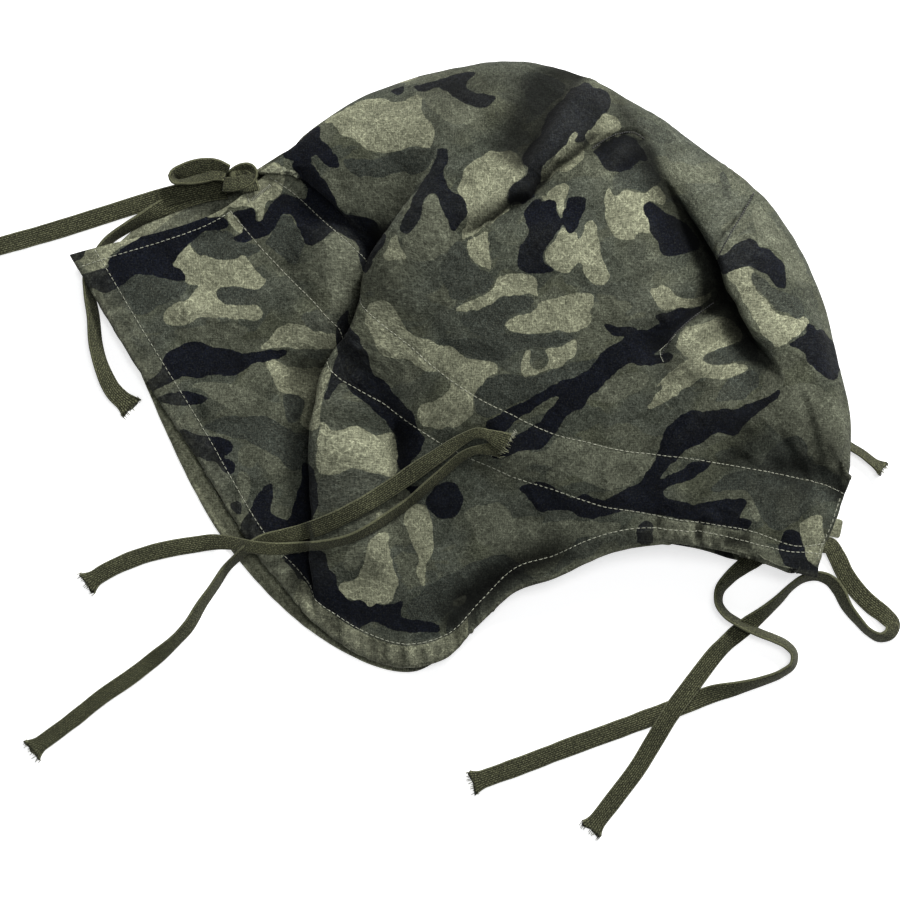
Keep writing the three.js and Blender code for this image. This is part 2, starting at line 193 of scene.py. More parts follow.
def ridge(distance, width):
    # 1 at 0, falling off like a bell to either side
    return np.exp(-((distance / width) ** 2))


def rounded(value, power):
    # a cosine or sine bent towards a square corner
    return np.sign(value) * np.abs(value) ** power


def unit(vectors):
    return vectors / np.maximum(np.linalg.norm(vectors, axis=-1, keepdims=True), 1e-9)


def turnedBy(x, y, turn):
    return x * math.cos(turn) - y * math.sin(turn), x * math.sin(turn) + y * math.cos(turn)


def gridQuads(rows, columns, start=0):
    # the corners of each cell of a grid of points, which are counted row by row from start
    corner = start + np.arange(rows - 1)[:, None] * columns + np.arange(columns - 1)
    return np.stack([corner, corner + columns, corner + columns + 1, corner + 1], axis=-1).reshape(-1, 4)


def ringFaces(rings, sides):
    # quads over rings of points, then triangles to one pole beyond each end; the two poles follow the rings
    i = np.arange(rings - 1)[:, None] * sides
    j = np.arange(sides)
    k = (j + 1) % sides
    quads = np.stack([i + j, i + sides + j, i + sides + k, i + k], axis=-1).reshape(-1, 4)
    last = (rings - 1) * sides
    pole = np.full(sides, rings * sides)
    return [quads, np.stack([j, k, pole], axis=-1), np.stack([last + k, last + j, pole + 1], axis=-1)]


def polar(values):
    # a grid whose first and last rows have shrunk to one point each: its other rows, then those two points
    return np.concatenate([values[1:-1].reshape(-1, *values.shape[2:]), values[:1, 0], values[-1:, 0]])


def makeObject(name, points, faces, material, attributes=None, uv=None):
    # points in millimetres; attributes are one number for each point; uv is a pair for each point
    mesh = bpy.data.meshes.new(name)
    sizes = np.concatenate([np.full(len(group), group.shape[1]) for group in faces])
    corners = np.concatenate([group.reshape(-1) for group in faces])
    mesh.vertices.add(len(points))
    mesh.vertices.foreach_set("co", (np.asarray(points) * mm).astype(np.float32).reshape(-1))
    mesh.loops.add(len(corners))
    mesh.loops.foreach_set("vertex_index", corners.astype(np.int32))
    mesh.polygons.add(len(sizes))
    mesh.polygons.foreach_set("loop_start", (np.cumsum(sizes) - sizes).astype(np.int32))
    mesh.polygons.foreach_set("use_smooth", np.ones(len(sizes), bool))
    mesh.update(calc_edges=True)
    for key, values in (attributes or {}).items():
        mesh.attributes.new(key, "FLOAT", "POINT").data.foreach_set("value", values.astype(np.float32))
    if uv is not None:
        layer = mesh.uv_layers.new(name="cloth")
        layer.data.foreach_set("uv", uv[corners].astype(np.float32).reshape(-1))
    mesh.validate()
    mesh.materials.append(material)
    piece = addToScene(name, mesh)
    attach(piece, "root")
    return piece


# materials

def linear(red, green, blue):
    # a colour picked as 0 to 255 becomes the linear light that shaders take
    values = np.array([red, green, blue]) / 255.0
    values = np.where(values <= 0.04045, values / 12.92, ((values + 0.055) / 1.055) ** 2.4)
    return (*values, 1.0)


class Nodes:
    # short calls to add and join shader nodes
    def __init__(self, name):
        self.material = bpy.data.materials.new(name)
        self.material.use_nodes = True
        self.tree = self.material.node_tree

    def add(self, kind, settings=None, inputs=None):
        node = self.tree.nodes.new(kind)
        for key, value in (settings or {}).items():
            setattr(node, key, value)
        for key, value in (inputs or {}).items():
            self.put(node.inputs[key], value)
        return node

    def put(self, socket, value):
        if isinstance(value, bpy.types.NodeSocket):
            self.tree.links.new(value, socket)
        else:
            socket.default_value = value

    def shade(self, inputs):
        for key, value in inputs.items():
            self.put(self.tree.nodes["Principled BSDF"].inputs[key], value)
        return self.material

    def attribute(self, name):
        return self.add("ShaderNodeAttribute", {"attribute_name": name}).outputs["Fac"]

    def flatPlace(self):
        return self.add("ShaderNodeUVMap", {"uv_map": "cloth"}).outputs["UV"]

    def math(self, operation, first, second=0.0):
        return self.add("ShaderNodeMath", {"operation": operation}, {0: first, 1: second}).outputs[0]

    def times(self, first, second):
        return self.math("MULTIPLY", first, second)

    def plus(self, first, second):
        return self.math("ADD", first, second)

    def ramp(self, value, low, high, fromValue=0.0, toValue=1.0):
        inputs = {"Value": value, "From Min": low, "From Max": high, "To Min": fromValue, "To Max": toValue}
        return self.add("ShaderNodeMapRange", {"interpolation_type": "SMOOTHSTEP"}, inputs).outputs["Result"]

    def noise(self, vector, scale, detail=2.0, roughness=0.5, distortion=0.0):
        inputs = {"Vector": vector, "Scale": scale, "Detail": detail, "Roughness": roughness,
                  "Distortion": distortion}
        return self.add("ShaderNodeTexNoise", {}, inputs).outputs["Fac"]

    def streaks(self, vector, scale, turn, detail, roughness=0.5, distortion=0.0):
        # a noise with its own scale, per metre, along and across; turned first, then scaled
        size = [1.0 / scale[0], 1.0 / scale[1], 1.0]
        stretch = {"Vector": vector, "Scale": size, "Rotation": (0.0, 0.0, turn)}
        mapped = self.add("ShaderNodeMapping", {"vector_type": "TEXTURE"}, stretch).outputs["Vector"]
        return self.noise(mapped, 1.0, detail, roughness, distortion)

    def mix(self, factor, first, second):
        node = self.add("ShaderNodeMix", {"data_type": "RGBA"}, {0: factor, 6: first, 7: second})
        return node.outputs[2]

    def bump(self, height, strength, distance, normal=None):
        inputs = {"Height": height, "Strength": strength, "Distance": distance}
        if normal is not None:
            inputs["Normal"] = normal
        return self.add("ShaderNodeBump", {}, inputs).outputs["Normal"]


clothColours = {
    "mid": linear(65, 69, 61),
    "midBrown": linear(68, 71, 58),
    "blotPale": linear(75, 78, 66),
    "blotDark": linear(57, 61, 53),
    "printOlive": linear(84, 87, 74),
    "printDark": linear(50, 54, 49),
    "printKhaki": linear(123, 125, 104),
    "printNavy": linear(11, 14, 22),
    "faded": linear(98, 100, 85),
    "yarn": linear(142, 144, 126),
    # painted shade: the near black that the seamShade attribute darkens the cloth towards
    "paintedShade": linear(9, 10, 9),
}
clothLook = {
    "edgeSoftness": 0.14,  # mm over which one colour turns into the next
    "edgeRag": 0.4,  # mm by which the print's edges wander
    "thread": 0.45,  # mm from thread to thread
    "weaveBump": 0.05,  # mm deep
    "wrinkleBump": 0.25,
    "crumpleBump": 1.3,
}
clothSheen = {
    "Specular IOR Level": 0.08,
    "Sheen Weight": 0.015,
    "Sheen Roughness": 0.5,
    "Sheen Tint": (0.8, 0.82, 0.78, 1.0),
}


def camouflageCloth():
    # the print is four signed distances in mm, kept on the points; inside a shape they are above 0
    nodes = Nodes("camouflageCloth")
    flat = nodes.flatPlace()
    rag = nodes.times(nodes.math("SUBTRACT", nodes.noise(flat, 480.0), 0.5), 2 * clothLook["edgeRag"])
    patches = nodes.ramp(nodes.noise(flat, 26.0), 0.42, 0.62)
    colour = nodes.mix(patches, clothColours["mid"], clothColours["midBrown"])
    # a second, quieter layer of blots
    blots = nodes.streaks(flat, (26.0, 46.0), 0.3, 3.0, 0.55, 0.5)
    colour = nodes.mix(nodes.ramp(blots, 0.545, 0.56), colour, clothColours["blotPale"])
    colour = nodes.mix(nodes.ramp(blots, 0.445, 0.43), colour, clothColours["blotDark"])
    for name in ("printOlive", "printDark", "printKhaki", "printNavy"):
        edge = nodes.plus(nodes.attribute(name), rag)
        inside = nodes.ramp(edge, -clothLook["edgeSoftness"], clothLook["edgeSoftness"])
        colour = nodes.mix(inside, colour, clothColours[name])
    navy = inside
    # the reverse side and worn edges are faded, and dark ink fades least
    uneven = nodes.ramp(nodes.noise(flat, 420.0, 3.0), 0.3, 0.7, 0.55, 1.0)
    fading = nodes.times(nodes.attribute("wear"), uneven)
    fading = nodes.times(fading, nodes.ramp(navy, 0.0, 1.0, 1.0, 0.3))
    colour = nodes.mix(fading, colour, clothColours["faded"])
    # the yarns: pale and dark flecks along both directions of the weave
    warp = nodes.streaks(flat, (2000.0, 380.0), 0.0, 3.0, 0.75)
    weft = nodes.streaks(flat, (380.0, 2000.0), 0.0, 3.0, 0.75)
    yarns = nodes.plus(warp, weft)
    flecks = nodes.ramp(yarns, 0.78, 1.22, 0.48, 1.54)
    worn = nodes.ramp(nodes.noise(flat, 1500.0, 4.0, 0.8), 0.50, 0.70)
    clouds = nodes.ramp(nodes.noise(flat, 75.0, 4.0, 0.65), 0.3, 0.7, 0.78, 1.20)
    # soft wrinkles: a pale line wherever a noise passes through its middle
    wrinkles = nodes.math("SUBTRACT", nodes.noise(flat, 260.0, 3.0, 0.55, 0.6), 0.5)
    wrinkles = nodes.ramp(nodes.math("ABSOLUTE", wrinkles), 0.0, 0.05, 1.0, 0.0)
    wrinkles = nodes.times(wrinkles, nodes.ramp(nodes.noise(flat, 60.0), 0.42, 0.66))
    # crossing slubs at about 45 degrees to the weave
    rising = nodes.streaks(flat, (1500.0, 230.0), 0.8, 2.0, 0.6)
    falling = nodes.streaks(flat, (1500.0, 230.0), -0.75, 2.0, 0.6)
    slubs = nodes.ramp(nodes.math("MAXIMUM", rising, falling), 0.54, 0.68)
    tone = nodes.times(flecks, clouds)
    tone = nodes.times(tone, nodes.ramp(slubs, 0.0, 1.0, 0.84, 1.42))
    tone = nodes.times(tone, nodes.ramp(wrinkles, 0.0, 1.0, 1.0, 1.16))
    toned = nodes.add("ShaderNodeVectorMath", {"operation": "SCALE"}, {0: colour, "Scale": tone}).outputs[0]
    # the dark ink shows less of the pale yarn
    share = nodes.times(worn, nodes.ramp(navy, 0.0, 1.0, 0.32, 0.08))
    colour = nodes.mix(share, toned, clothColours["yarn"])
    # painted shade: the seamShade attribute darkens the cloth in folds, pockets, hollows, valleys of gathers
    # and along seams and hems
    colour = nodes.mix(nodes.attribute("seamShade"), colour, clothColours["paintedShade"])
    threads = 1.0 / (clothLook["thread"] * mm) / 20.0
    waves = {"Vector": flat, "Scale": threads, "Distortion": 1.5, "Detail": 2.0, "Detail Scale": 30.0}
    across, along = [
        nodes.add("ShaderNodeTexWave", {"wave_type": "BANDS", "bands_direction": axis}, waves).outputs["Fac"]
        for axis in ("X", "Y")
    ]
    weave = nodes.plus(nodes.times(across, along), nodes.times(yarns, 0.8))
    weave = nodes.plus(weave, nodes.times(slubs, 0.6))
    normal = nodes.bump(nodes.noise(flat, 150.0, 5.0, 0.65), 0.75, clothLook["crumpleBump"] * mm)
    normal = nodes.bump(wrinkles, 0.35, clothLook["wrinkleBump"] * mm, normal)
    normal = nodes.bump(weave, 0.6, clothLook["weaveBump"] * mm, normal)
    roughness = nodes.ramp(yarns, 0.7, 1.3, 0.98, 0.86)
    return nodes.shade({"Base Color": colour, "Roughness": roughness, "Normal": normal, **clothSheen})


tapeLook = {
    "colour": linear(71, 73, 51),
    "darkYarnAndShade": linear(24, 25, 17),
    "pale": linear(126, 128, 98),
    "braid": 1.35,  # mm along the tape for one crossing of the braid
    "rows": 4.5,  # rows of the braid from the middle of a face to its edge
    "bump": 0.28,  # mm
}
tapeSheen = {"Roughness": 0.9, "Specular IOR Level": 0.2, "Sheen Weight": 0.05, "Sheen Roughness": 0.5}


def tapeCloth():
    # uv runs along the tape (u, metres) and round it (v, from -1 to 1 across its face)
    nodes = Nodes("oliveTape")
    flat = nodes.flatPlace()
    parts = nodes.add("ShaderNodeSeparateXYZ", {}, {0: flat})
    along = nodes.times(parts.outputs["X"], 1.0 / (tapeLook["braid"] * mm))
    across = nodes.times(parts.outputs["Y"], tapeLook["rows"])
    # herringbone: slanting ribs whose slant turns from one row to the next
    slant = nodes.plus(along, nodes.times(nodes.math("PINGPONG", across, 1.0), 0.9))
    slant = nodes.plus(slant, nodes.times(nodes.streaks(flat, (500.0, 4.0), 0.0, 2.0), 2.2))
    ribs = nodes.math("PINGPONG", slant, 0.5)
    rows = nodes.math("PINGPONG", nodes.plus(across, 0.5), 0.5)
    height = nodes.plus(nodes.times(ribs, 0.8), nodes.times(rows, 0.9))
    grain = nodes.streaks(flat, (620.0, 10.0), 0.0, 3.0, 0.75)
    clouds = nodes.streaks(flat, (70.0, 1.0), 0.0, 2.0, 0.6)
    tone = nodes.plus(nodes.times(height, 0.5), nodes.times(grain, 0.95))
    # painted shade and highlight: the colour follows the braid's relief, darker in its grooves and paler on
    # its raised ribs, mixed with the random dark and pale of the yarn
    colour = nodes.mix(nodes.ramp(tone, 0.48, 0.92), tapeLook["darkYarnAndShade"], tapeLook["colour"])
    colour = nodes.mix(nodes.ramp(nodes.times(grain, height), 0.22, 0.46, 0.0, 0.8), colour, tapeLook["pale"])
    # painted highlight along the rims of the tape
    edge = nodes.ramp(nodes.math("ABSOLUTE", parts.outputs["Y"]), 0.86, 0.97, 0.0, 0.35)
    colour = nodes.mix(edge, colour, tapeLook["pale"])
    colour = nodes.mix(nodes.ramp(clouds, 0.35, 0.65, 0.0, 0.25), colour, tapeLook["darkYarnAndShade"])
    normal = nodes.bump(tone, 0.9, tapeLook["bump"] * mm)
    return nodes.shade({"Base Color": colour, "Normal": normal, **tapeSheen})


def threadMaterial(name, low, high):
    nodes = Nodes(name)
    grain = nodes.noise(nodes.add("ShaderNodeTexCoord").outputs["Object"], 2500.0)
    colour = nodes.mix(nodes.ramp(grain, 0.35, 0.65), low, high)
    normal = nodes.bump(grain, 0.6, 0.08 * mm)
    return nodes.shade({"Base Color": colour, "Normal": normal, "Roughness": 0.75, "Sheen Weight": 0.2})


clothMaterial = camouflageCloth()
tapeMaterial = tapeCloth()
paleThread = threadMaterial("paleThread", linear(108, 110, 94), linear(170, 172, 154))
darkThread = threadMaterial("darkThread", linear(16, 17, 15), linear(30, 32, 27))
oliveThread = threadMaterial("oliveThread", linear(54, 56, 38), linear(128, 130, 100))
print("materials ready")


# cloth panels: a smooth surface through sections, then folds, gathers, hems and a soft crumple

# one row per section from the brow to the back of the neck; columns: x and y of the centre seam, of the
# upper and lower casing stitches and of the hem, then the heights midway up the crown and at the last three
nearSections = np.array([
    [163.6, -42, 161.4, -54.5, 153.5, -75, 150, -89, 16, 15, 12, 9],
    [163.6, -22, 151, -50, 140, -76, 138, -86, 27, 24, 20, 17],
    [158, 2, 134, -46, 122, -70, 123, -81, 35, 29, 26, 22],
    [152, 27, 117, -43, 106, -67, 106, -77, 42, 33, 29, 24],
    [138, 55, 100, -40, 91, -65, 92, -75, 47, 36, 31, 25],
    [124, 73, 83, -38, 75, -62, 75, -76, 51, 38, 32, 25],
    [100, 92, 66, -36, 58, -59, 58, -80, 54, 40, 33, 23],
    [75, 109, 50, -32, 41, -53, 39, -89, 56, 42, 34, 20],
    [50, 121, 35, -28, 24, -48, 22, -95, 57, 43, 34, 17],
    [26, 127.5, 16, -19, 12, -43, 8, -108, 57, 44, 34, 13],
    [-1, 125, 1, -11, -3, -36, -8, -123.5, 56, 44, 33, 10],
    [-18, 121.5, -10, -3, -17, -28, -26, -127, 53, 43, 32, 9],
    [-33, 116.5, -22, 8, -31, -18, -46, -120, 44, 41, 30, 8.5],
    [-47, 110, -34, 25, -48, -3, -61, -109, 35, 27, 21, 8.5],
    [-58, 103, -38, 34, -54, 12, -71, -99, 30, 14, 12.5, 8.5],
    [-66, 97, -46, 44, -61, 22, -88, -77, 27, 15, 13.5, 8.5],
    [-71, 92, -56, 57, -74, 38, -112, -38, 22, 16, 13.5, 8.5],
    [-77, 88.5, -69.5, 71, -86, 51, -140, 5, 16, 15, 12.5, 8.5],
    [-87.5, 81.8, -83, 80.5, -99, 67, -165, 47, 13.6, 13.4, 10.5, 8],
])

# one row per section; columns: x and y of the centre seam, of the place where the cloth comes down to the
# floor, of the middle and of the hem
farSections = np.array([
    [163.6, -42, 162, -50, 160, -62, 151, -83],
    [158, 2, 152, -4, 140, -38, 124, -83],
    [138, 55, 130, 47, 113, -8, 96, -76],
    [100, 92, 94, 82, 76, 9, 61, -74],
    [50, 121, 48, 109, 36, 16, 26, -89],
    [-1, 124, 0, 112, -2, 3, -6, -121],
    [-18, 121, -17, 109, -18, -3, -19, -128.5],
    [-47, 109, -44, 99, -48, -6, -56, -117],
    [-66, 96, -63, 88, -79, 8, -99, -75.5],
    [-77, 88, -76, 80, -104, 36, -130, -16],
    [-87.5, 81.8, -90, 79, -123, 69, -152.5, 46],
])

cloth = {
    "thickness": 0.9,
    "hemExtra": 0.55,  # mm more where the hem is turned under
    "hemWidth": 9.8,
    "seamHeight": 13.0,
    "seamGap": 0.4,
    "lowestNear": 7.2,
    "rows": 388,
    # column places from the seam (0) to the hem (1), and into how many strips each stretch is cut
    "nearKnots": [0.0, 0.04, 0.11, 0.32, 0.6, 0.72, 1.0],
    "nearStrips": [6, 12, 52, 56, 22, 44],
    "farRows": 300,
    "farKnots": [0.0, 0.05, 0.12, 0.5, 1.0],
    "farStrips": [4, 8, 24, 44],
    "innerEvery": 4,  # outer columns to one of the inner side
}

foldPaths = {
    "main": [
        [-6, 98], [-10.9, 87.4], [-14.7, 82.3], [-19.7, 75.6], [-25.2, 66.4], [-31.1, 55], [-36.5, 45.4],
        [-39.5, 36.1], [-41.2, 26.5], [-43.3, 18.9], [-46.2, 10.5], [-53.8, 2.1], [-57.5, -7.6],
        [-59.2, -18.9], [-61.3, -28.1], [-61.7, -49.1], [-61.3, -60.5], [-61.5, -72], [-62.5, -84],
        [-64.5, -106],
    ],
    "neckHump": [[-43, 70], [-47, 62], [-50, 50], [-52.5, 36], [-56, 24], [-62, 8], [-66, -10]],
    "earPocket": [[-58, -70], [-61, -80], [-66, -88], [-68, -96]],
    "browCrease": [[140, -6], [146, -22], [150, -40], [151, -54]],
    "browCreaseTwo": [[130, -24], [140, -38], [146, -52], [148, -64]],
    "neck": [[-68, 6], [-67, -15], [-68, -45], [-69, -75], [-72, -98]],
    "crownCrease": [[56, 124], [48.3, 116], [42.8, 111.3], [37, 102.1], [31.5, 92.4], [26.9, 86.1], [22, 78]],
    "softValley": [
        [62, 100], [53.3, 92.8], [46.6, 86.9], [39.1, 81.5], [33.2, 75.6], [27.7, 70.1], [20.2, 67.2],
        [12.6, 61.3], [5, 56.7], [0.4, 53.8], [-1, 48],
    ],
    "crownLeft": [[12, 108], [5, 94], [0, 80], [-4, 70]],
    "dartOne": [[54.2, 90.7], [63.4, 96.6], [73.1, 97.4], [77.7, 93.7]],
    "dartBump": [[54, 104], [60, 107], [66, 106], [73, 103]],
    "longValley": [
        [72, 100], [77.7, 93.7], [84.4, 79.4], [93.7, 66.4], [103.3, 51.2], [107.1, 43.7], [110, 34],
        [114.7, 24.8], [122.2, 11.3], [129.8, 2.1], [133.6, -5.5], [138, -18],
    ],
    "dartTwo": [[122.6, 72.2], [117.5, 63], [112, 54], [107.1, 44.5]],
    "dartThree": [[110, 30], [107.1, 26.5], [95.8, 18.9], [88.2, 11.3], [83.6, 3.8], [78, -4]],
    "earRidge": [[-44, -26], [-42, -45], [-40, -66], [-37, -92]],
    "earLine": [[-26, -22], [-27.3, -31.9], [-27, -47.5], [-24, -60]],
    "frontHollow": [[162, -60], [150.4, -49], [140, -44], [128, -46]],
    "browHollow": [[120, -36], [112, -48], [104, -64]],
    "lowSoft": [[104, -4], [88, -22], [76, -44], [72, -58]],
    "capeOne": [[-84, 62], [-100, 55], [-122, 51]],
    "capeTwo": [[-70, 36], [-92, 24], [-124, 20]],
    "capeThree": [[-74, -2], [-92, -12], [-112, -20]],
    "earEdge": [[50, -78], [30, -85], [13, -92], [-6, -105]],
}

# columns: path, offset to its left (mm), rise, half width on the left and right, push to the left, sharpness
# from 0, a round hump, to 1, a crisp crease, and the shares of the path over which it grows and fades
folds = [
    ["main", 9.5, 5.0, 16, 11, -10, 0.0, 0.35, 0.12],
    ["main", -4.0, -6.0, 8, 16, 5, 0.1, 0.25, 0.12],
    ["neckHump", 0, 11.0, 13, 24, 4, 0.0, 0.3, 0.35],
    ["neck", 0, -2.5, 12, 16, 0, 0.0, 0.15, 0.12],
    ["crownCrease", 5.5, 3.4, 14, 9.0, -1.0, 0.0, 0.2, 0.3],
    ["crownCrease", -6.5, -6.5, 11, 19, 1, 0.1, 0.15, 0.25],
    ["softValley", -5.0, 3.2, 5.5, 13, 0, 0.0, 0.2, 0.3],
    ["softValley", 0.8, -3.8, 15, 4, 0, 0.3, 0.15, 0.3],
    ["crownLeft", 0, -2.5, 12, 12, 0, 0.1, 0.2, 0.2],
    ["dartOne", -0.5, -3.6, 3, 9, 0, 0.5, 0.15, 0.15],
    ["dartBump", 0, 3.0, 7, 8, 0, 0.0, 0.3, 0.3],
    ["longValley", 8.5, 5.5, 16, 10, -6, 0.0, 0.5, 0.35],
    ["longValley", -1.0, -5.5, 15, 24, 0, 0.0, 0.12, 0.6],
    ["longValley", -4.0, -10.0, 7, 25, 4, 0.15, 0.55, 0.3],
    ["dartTwo", 0, -1.3, 1.8, 1.8, 0, 0.7, 0.1, 0.1],
    ["dartThree", -1.0, -6.0, 5, 16, 0, 0.4, 0.1, 0.3],
    ["dartThree", 5.0, 2.2, 8, 5, 0, 0.0, 0.2, 0.3],
    ["earRidge", 0, 5.0, 13, 12, 0, 0.0, 0.2, 0.2],
    ["earLine", 0, -4.5, 9, 4, 0, 0.5, 0.15, 0.15],
    ["earPocket", 0, -6.0, 7, 9, 0, 0.2, 0.2, 0.3],
    ["frontHollow", 0, -3.0, 9, 8, 0, 0.1, 0.15, 0.15],
    ["browHollow", 0, -2.5, 9, 9, 0, 0.1, 0.15, 0.15],
    ["lowSoft", 0, -2.6, 8, 16, 0, 0.2, 0.15, 0.15],
    ["browCrease", 0, -1.8, 3.5, 7, 0, 0.5, 0.2, 0.3],
    ["browCreaseTwo", 0, -1.5, 3.0, 6, 0, 0.5, 0.2, 0.3],
    ["capeOne", 0, -1.6, 7, 7, 0, 0.2, 0.15, 0.15],
    ["capeTwo", 0, 2.6, 13, 11, 0, 0.0, 0.15, 0.15],
    ["capeThree", 0, 2.6, 12, 12, 0, 0.0, 0.15, 0.15],
    ["earEdge", 0, -2.6, 10, 9, 0, 0.0, 0.15, 0.15],
]

# painted shade in the folds and hollows and on cloth turned away from the light: path, offset to its left
# (mm), half width on the left and right, depth and roundness from 0 to 1, and the shares of the path over
# which it grows and fades
shadePaths = {
    "pocketOne": [[-35, 66], [-37.2, 57], [-39, 48], [-42, 37]],
    "deepValley": [[100, 48.3], [108.4, 31.5], [114.7, 14.7], [125.2, 0], [137.8, -12.6]],
    "valleyTop": [[58, 120], [66, 110], [73, 98], [80.5, 84.5], [87, 72]],
    "rightFront": [[140, -14], [155, -36], [161, -60]],
    "pocketTwo": [[-45.5, 27], [-48.5, 17], [-50.5, 7]],
    "slit": [[-53, 1], [-55.6, -6], [-57.5, -16]],
    "pocketThree": [[-60.5, -78], [-62, -84], [-64, -94]],
    "browDip": [[100, -38], [125, -44], [150, -54]],
    "crownTop": [[-32, 108], [0, 118], [24, 119], [44, 117]],
    "crownRight": [[52, 108], [58, 98], [66, 88], [74, 78]],
    "browTop": [[108, -20], [132, -36], [150, -50]],
    "hemFront": [[54, -81], [39, -85], [24, -91], [12.6, -98], [0, -109], [-8, -115]],
    "knotDip": [[-84, 78], [-78, 74], [-72, 66]],
}
shades = [
    ["main", -2.5, 3.5, 19, 0.62, 0.0, 0.45, 0.1],
    ["crownCrease", -2.0, 7.0, 20, 0.86, 0.6, 0.08, 0.12],
    ["crownCrease", -12.5, 10.0, 12.0, 0.72, 0.9, 0.15, 0.2],
    ["softValley", -0.4, 1.6, 9.0, 0.88, 0.2, 0.1, 0.2],
    ["valleyTop", 0.0, 7.0, 9.0, 0.66, 0.8, 0.3, 0.3],
    ["longValley", -2.0, 4.0, 21, 0.5, 0.0, 0.3, 0.25],
    ["longValley", -1.5, 5.5, 14, 0.66, 1.0, 0.1, 0.35],
    ["deepValley", 0.0, 5.0, 11, 0.85, 0.8, 0.3, 0.5],
    ["dartOne", 0.0, 1.5, 9, 0.72, 0.2, 0.1, 0.1],
    ["dartThree", 0.0, 3.0, 12, 0.5, 0.0, 0.05, 0.2],
    ["dartTwo", 0.0, 1.1, 1.1, 0.85, 0.5, 0.05, 0.05],
    ["earLine", 0.0, 7.0, 4.0, 0.3, 0.0, 0.2, 0.2],
    ["hemFront", -4.0, 11.0, 17.0, 0.94, 0.6, 0.25, 0.1],
    ["pocketOne", 0.0, 5.5, 6.5, 0.96, 1.0, 0.25, 0.3],
    ["pocketTwo", 0.0, 3.8, 5.0, 0.92, 0.6, 0.25, 0.3],
    ["slit", 0.0, 1.8, 3.0, 0.8, 0.0, 0.1, 0.3],
    ["pocketThree", 0.0, 3.6, 5.0, 0.9, 0.5, 0.3, 0.3],
    ["browDip", 0.0, 22.0, 16.0, 0.42, 0.0, 0.2, 0.1],
    ["browTop", 0.0, 30.0, 26.0, 0.5, 0.0, 0.3, 0.1],
    ["rightFront", 0.0, 10.0, 14.0, 0.55, 0.6, 0.35, 0.15],
    ["crownTop", 0.0, 18.0, 34.0, 0.55, 0.0, 0.35, 0.25],
    ["crownRight", 0.0, 14.0, 16.0, 0.4, 0.0, 0.3, 0.3],
    ["knotDip", 0.0, 8.0, 8.0, 0.4, 0.0, 0.2, 0.2],
]


def sightScale(heights):
    # how much larger the cloth is seen at some height than at the height where the chart is true to scale
    return 1 + (heights[..., None] - stage["clothHeight"]) / (stage["cameraHeight"] - stage["clothHeight"])


def seenPlaces(places, heights):
    # where a place in plan is seen from above, round the middle of the picture
    middle = np.array(stage["cameraAt"])
    return middle + (places - middle) * sightScale(heights)


def planPlaces(seen, heights):
    middle = np.array(stage["cameraAt"])
    return middle + (seen - middle) / sightScale(heights)


def pathFrame(x, y, path):
    # signed distance to the left of a polyline and the share of its length run, at each x, y
    line = smoothPath(path, 2.5)
    spans = np.diff(line, axis=0)
    squares = (spans**2).sum(axis=1)
    run = runLengths(line)
    best = np.full(x.shape, 1e9)
    signed, share, leftX, leftY = np.zeros((4, *x.shape))
    for index, (start, span, square) in enumerate(zip(line[:-1], spans, squares)):
        dx = x - start[0]
        dy = y - start[1]
        t = np.clip((dx * span[0] + dy * span[1]) / square, 0, 1)
        distance = np.hypot(dx - t * span[0], dy - t * span[1])
        closer = distance < best
        best = np.where(closer, distance, best)
        side = np.where(span[0] * dy - span[1] * dx > 0, 1.0, -1.0)
        signed = np.where(closer, side * distance, signed)
        share = np.where(closer, (run[index] + t * math.sqrt(square)) / run[-1], share)
        leftX = np.where(closer, -span[1] / math.sqrt(square), leftX)
        leftY = np.where(closer, span[0] / math.sqrt(square), leftY)
    return signed, share, leftX, leftY


def pathFrames(grid, paths):
    seen = seenPlaces(grid[..., :2], grid[..., 2])
    return {name: pathFrame(seen[..., 0], seen[..., 1], path) for name, path in paths.items()}


def strokeProfile(frame, offset, left, right, fadeIn, fadeOut):
    # across a path a round hump (1 - d^2)^2 and a crisp crease (1 - |d|)^2, and the fading at both its ends
    away = frame[0] - offset
    distance = np.abs(away) / np.where(away > 0, left, right)
    crease = np.clip(1 - distance, 0, None) ** 2
    fade = smoothStep(0, fadeIn, frame[1]) * smoothStep(0, fadeOut, 1 - frame[1])
    return hump(distance), crease, fade


def foldShade(grid):
    # all strokes together: each leaves 1 - depth * profile of the light
    used = {row[0] for row in shades}
    paths = {name: path for name, path in {**foldPaths, **shadePaths}.items() if name in used}
    frames = pathFrames(grid, paths)
    deepest = np.zeros(grid.shape[:2])
    for name, offset, left, right, depth, rounder, fadeIn, fadeOut in shades:
        soft, crease, fade = strokeProfile(frames[name], offset, left, right, fadeIn, fadeOut)
        profile = crease * (1 - rounder) + soft * rounder
        deepest = 1 - (1 - deepest) * (1 - depth * profile * fade)
    return deepest


def foldCloth(grid, run):
    # each fold lifts the cloth by rise * profile and leans it to the left of its path by push * profile
    frames = pathFrames(grid, foldPaths)
    moved = grid.copy()
    for name, offset, rise, left, right, push, sharp, fadeIn, fadeOut in folds:
        soft, crease, fade = strokeProfile(frames[name], offset, left, right, fadeIn, fadeOut)
        amount = (soft * (1 - sharp) + crease * sharp) * (fade * smoothStep(3, 20, run))
        moved[..., 0] += frames[name][2] * push * amount
        moved[..., 1] += frames[name][3] * push * amount
        moved[..., 2] += rise * amount
    moved[..., 2] = np.maximum(moved[..., 2], np.minimum(grid[..., 2], cloth["lowestNear"]))
    return moved


def nearNet(sections):
    # seven columns: the seam, two places where the cloth rolls up from it, midway up the crown, the two rows
    # of stitches and the hem
    seam = sections[:, 0:2]
    upper = sections[:, 2:4]
    climb = sections[:, 8] - cloth["seamHeight"]

    def between(share, rise):
        return np.column_stack([seam + (upper - seam) * share, cloth["seamHeight"] + climb * rise])

    return np.stack([
        between(0.0, 0.0), between(0.005, 0.3), between(0.1, 0.68), between(0.45, 1.0),
        sections[:, [2, 3, 9]], sections[:, [4, 5, 10]], sections[:, [6, 7, 11]],
    ], axis=1)


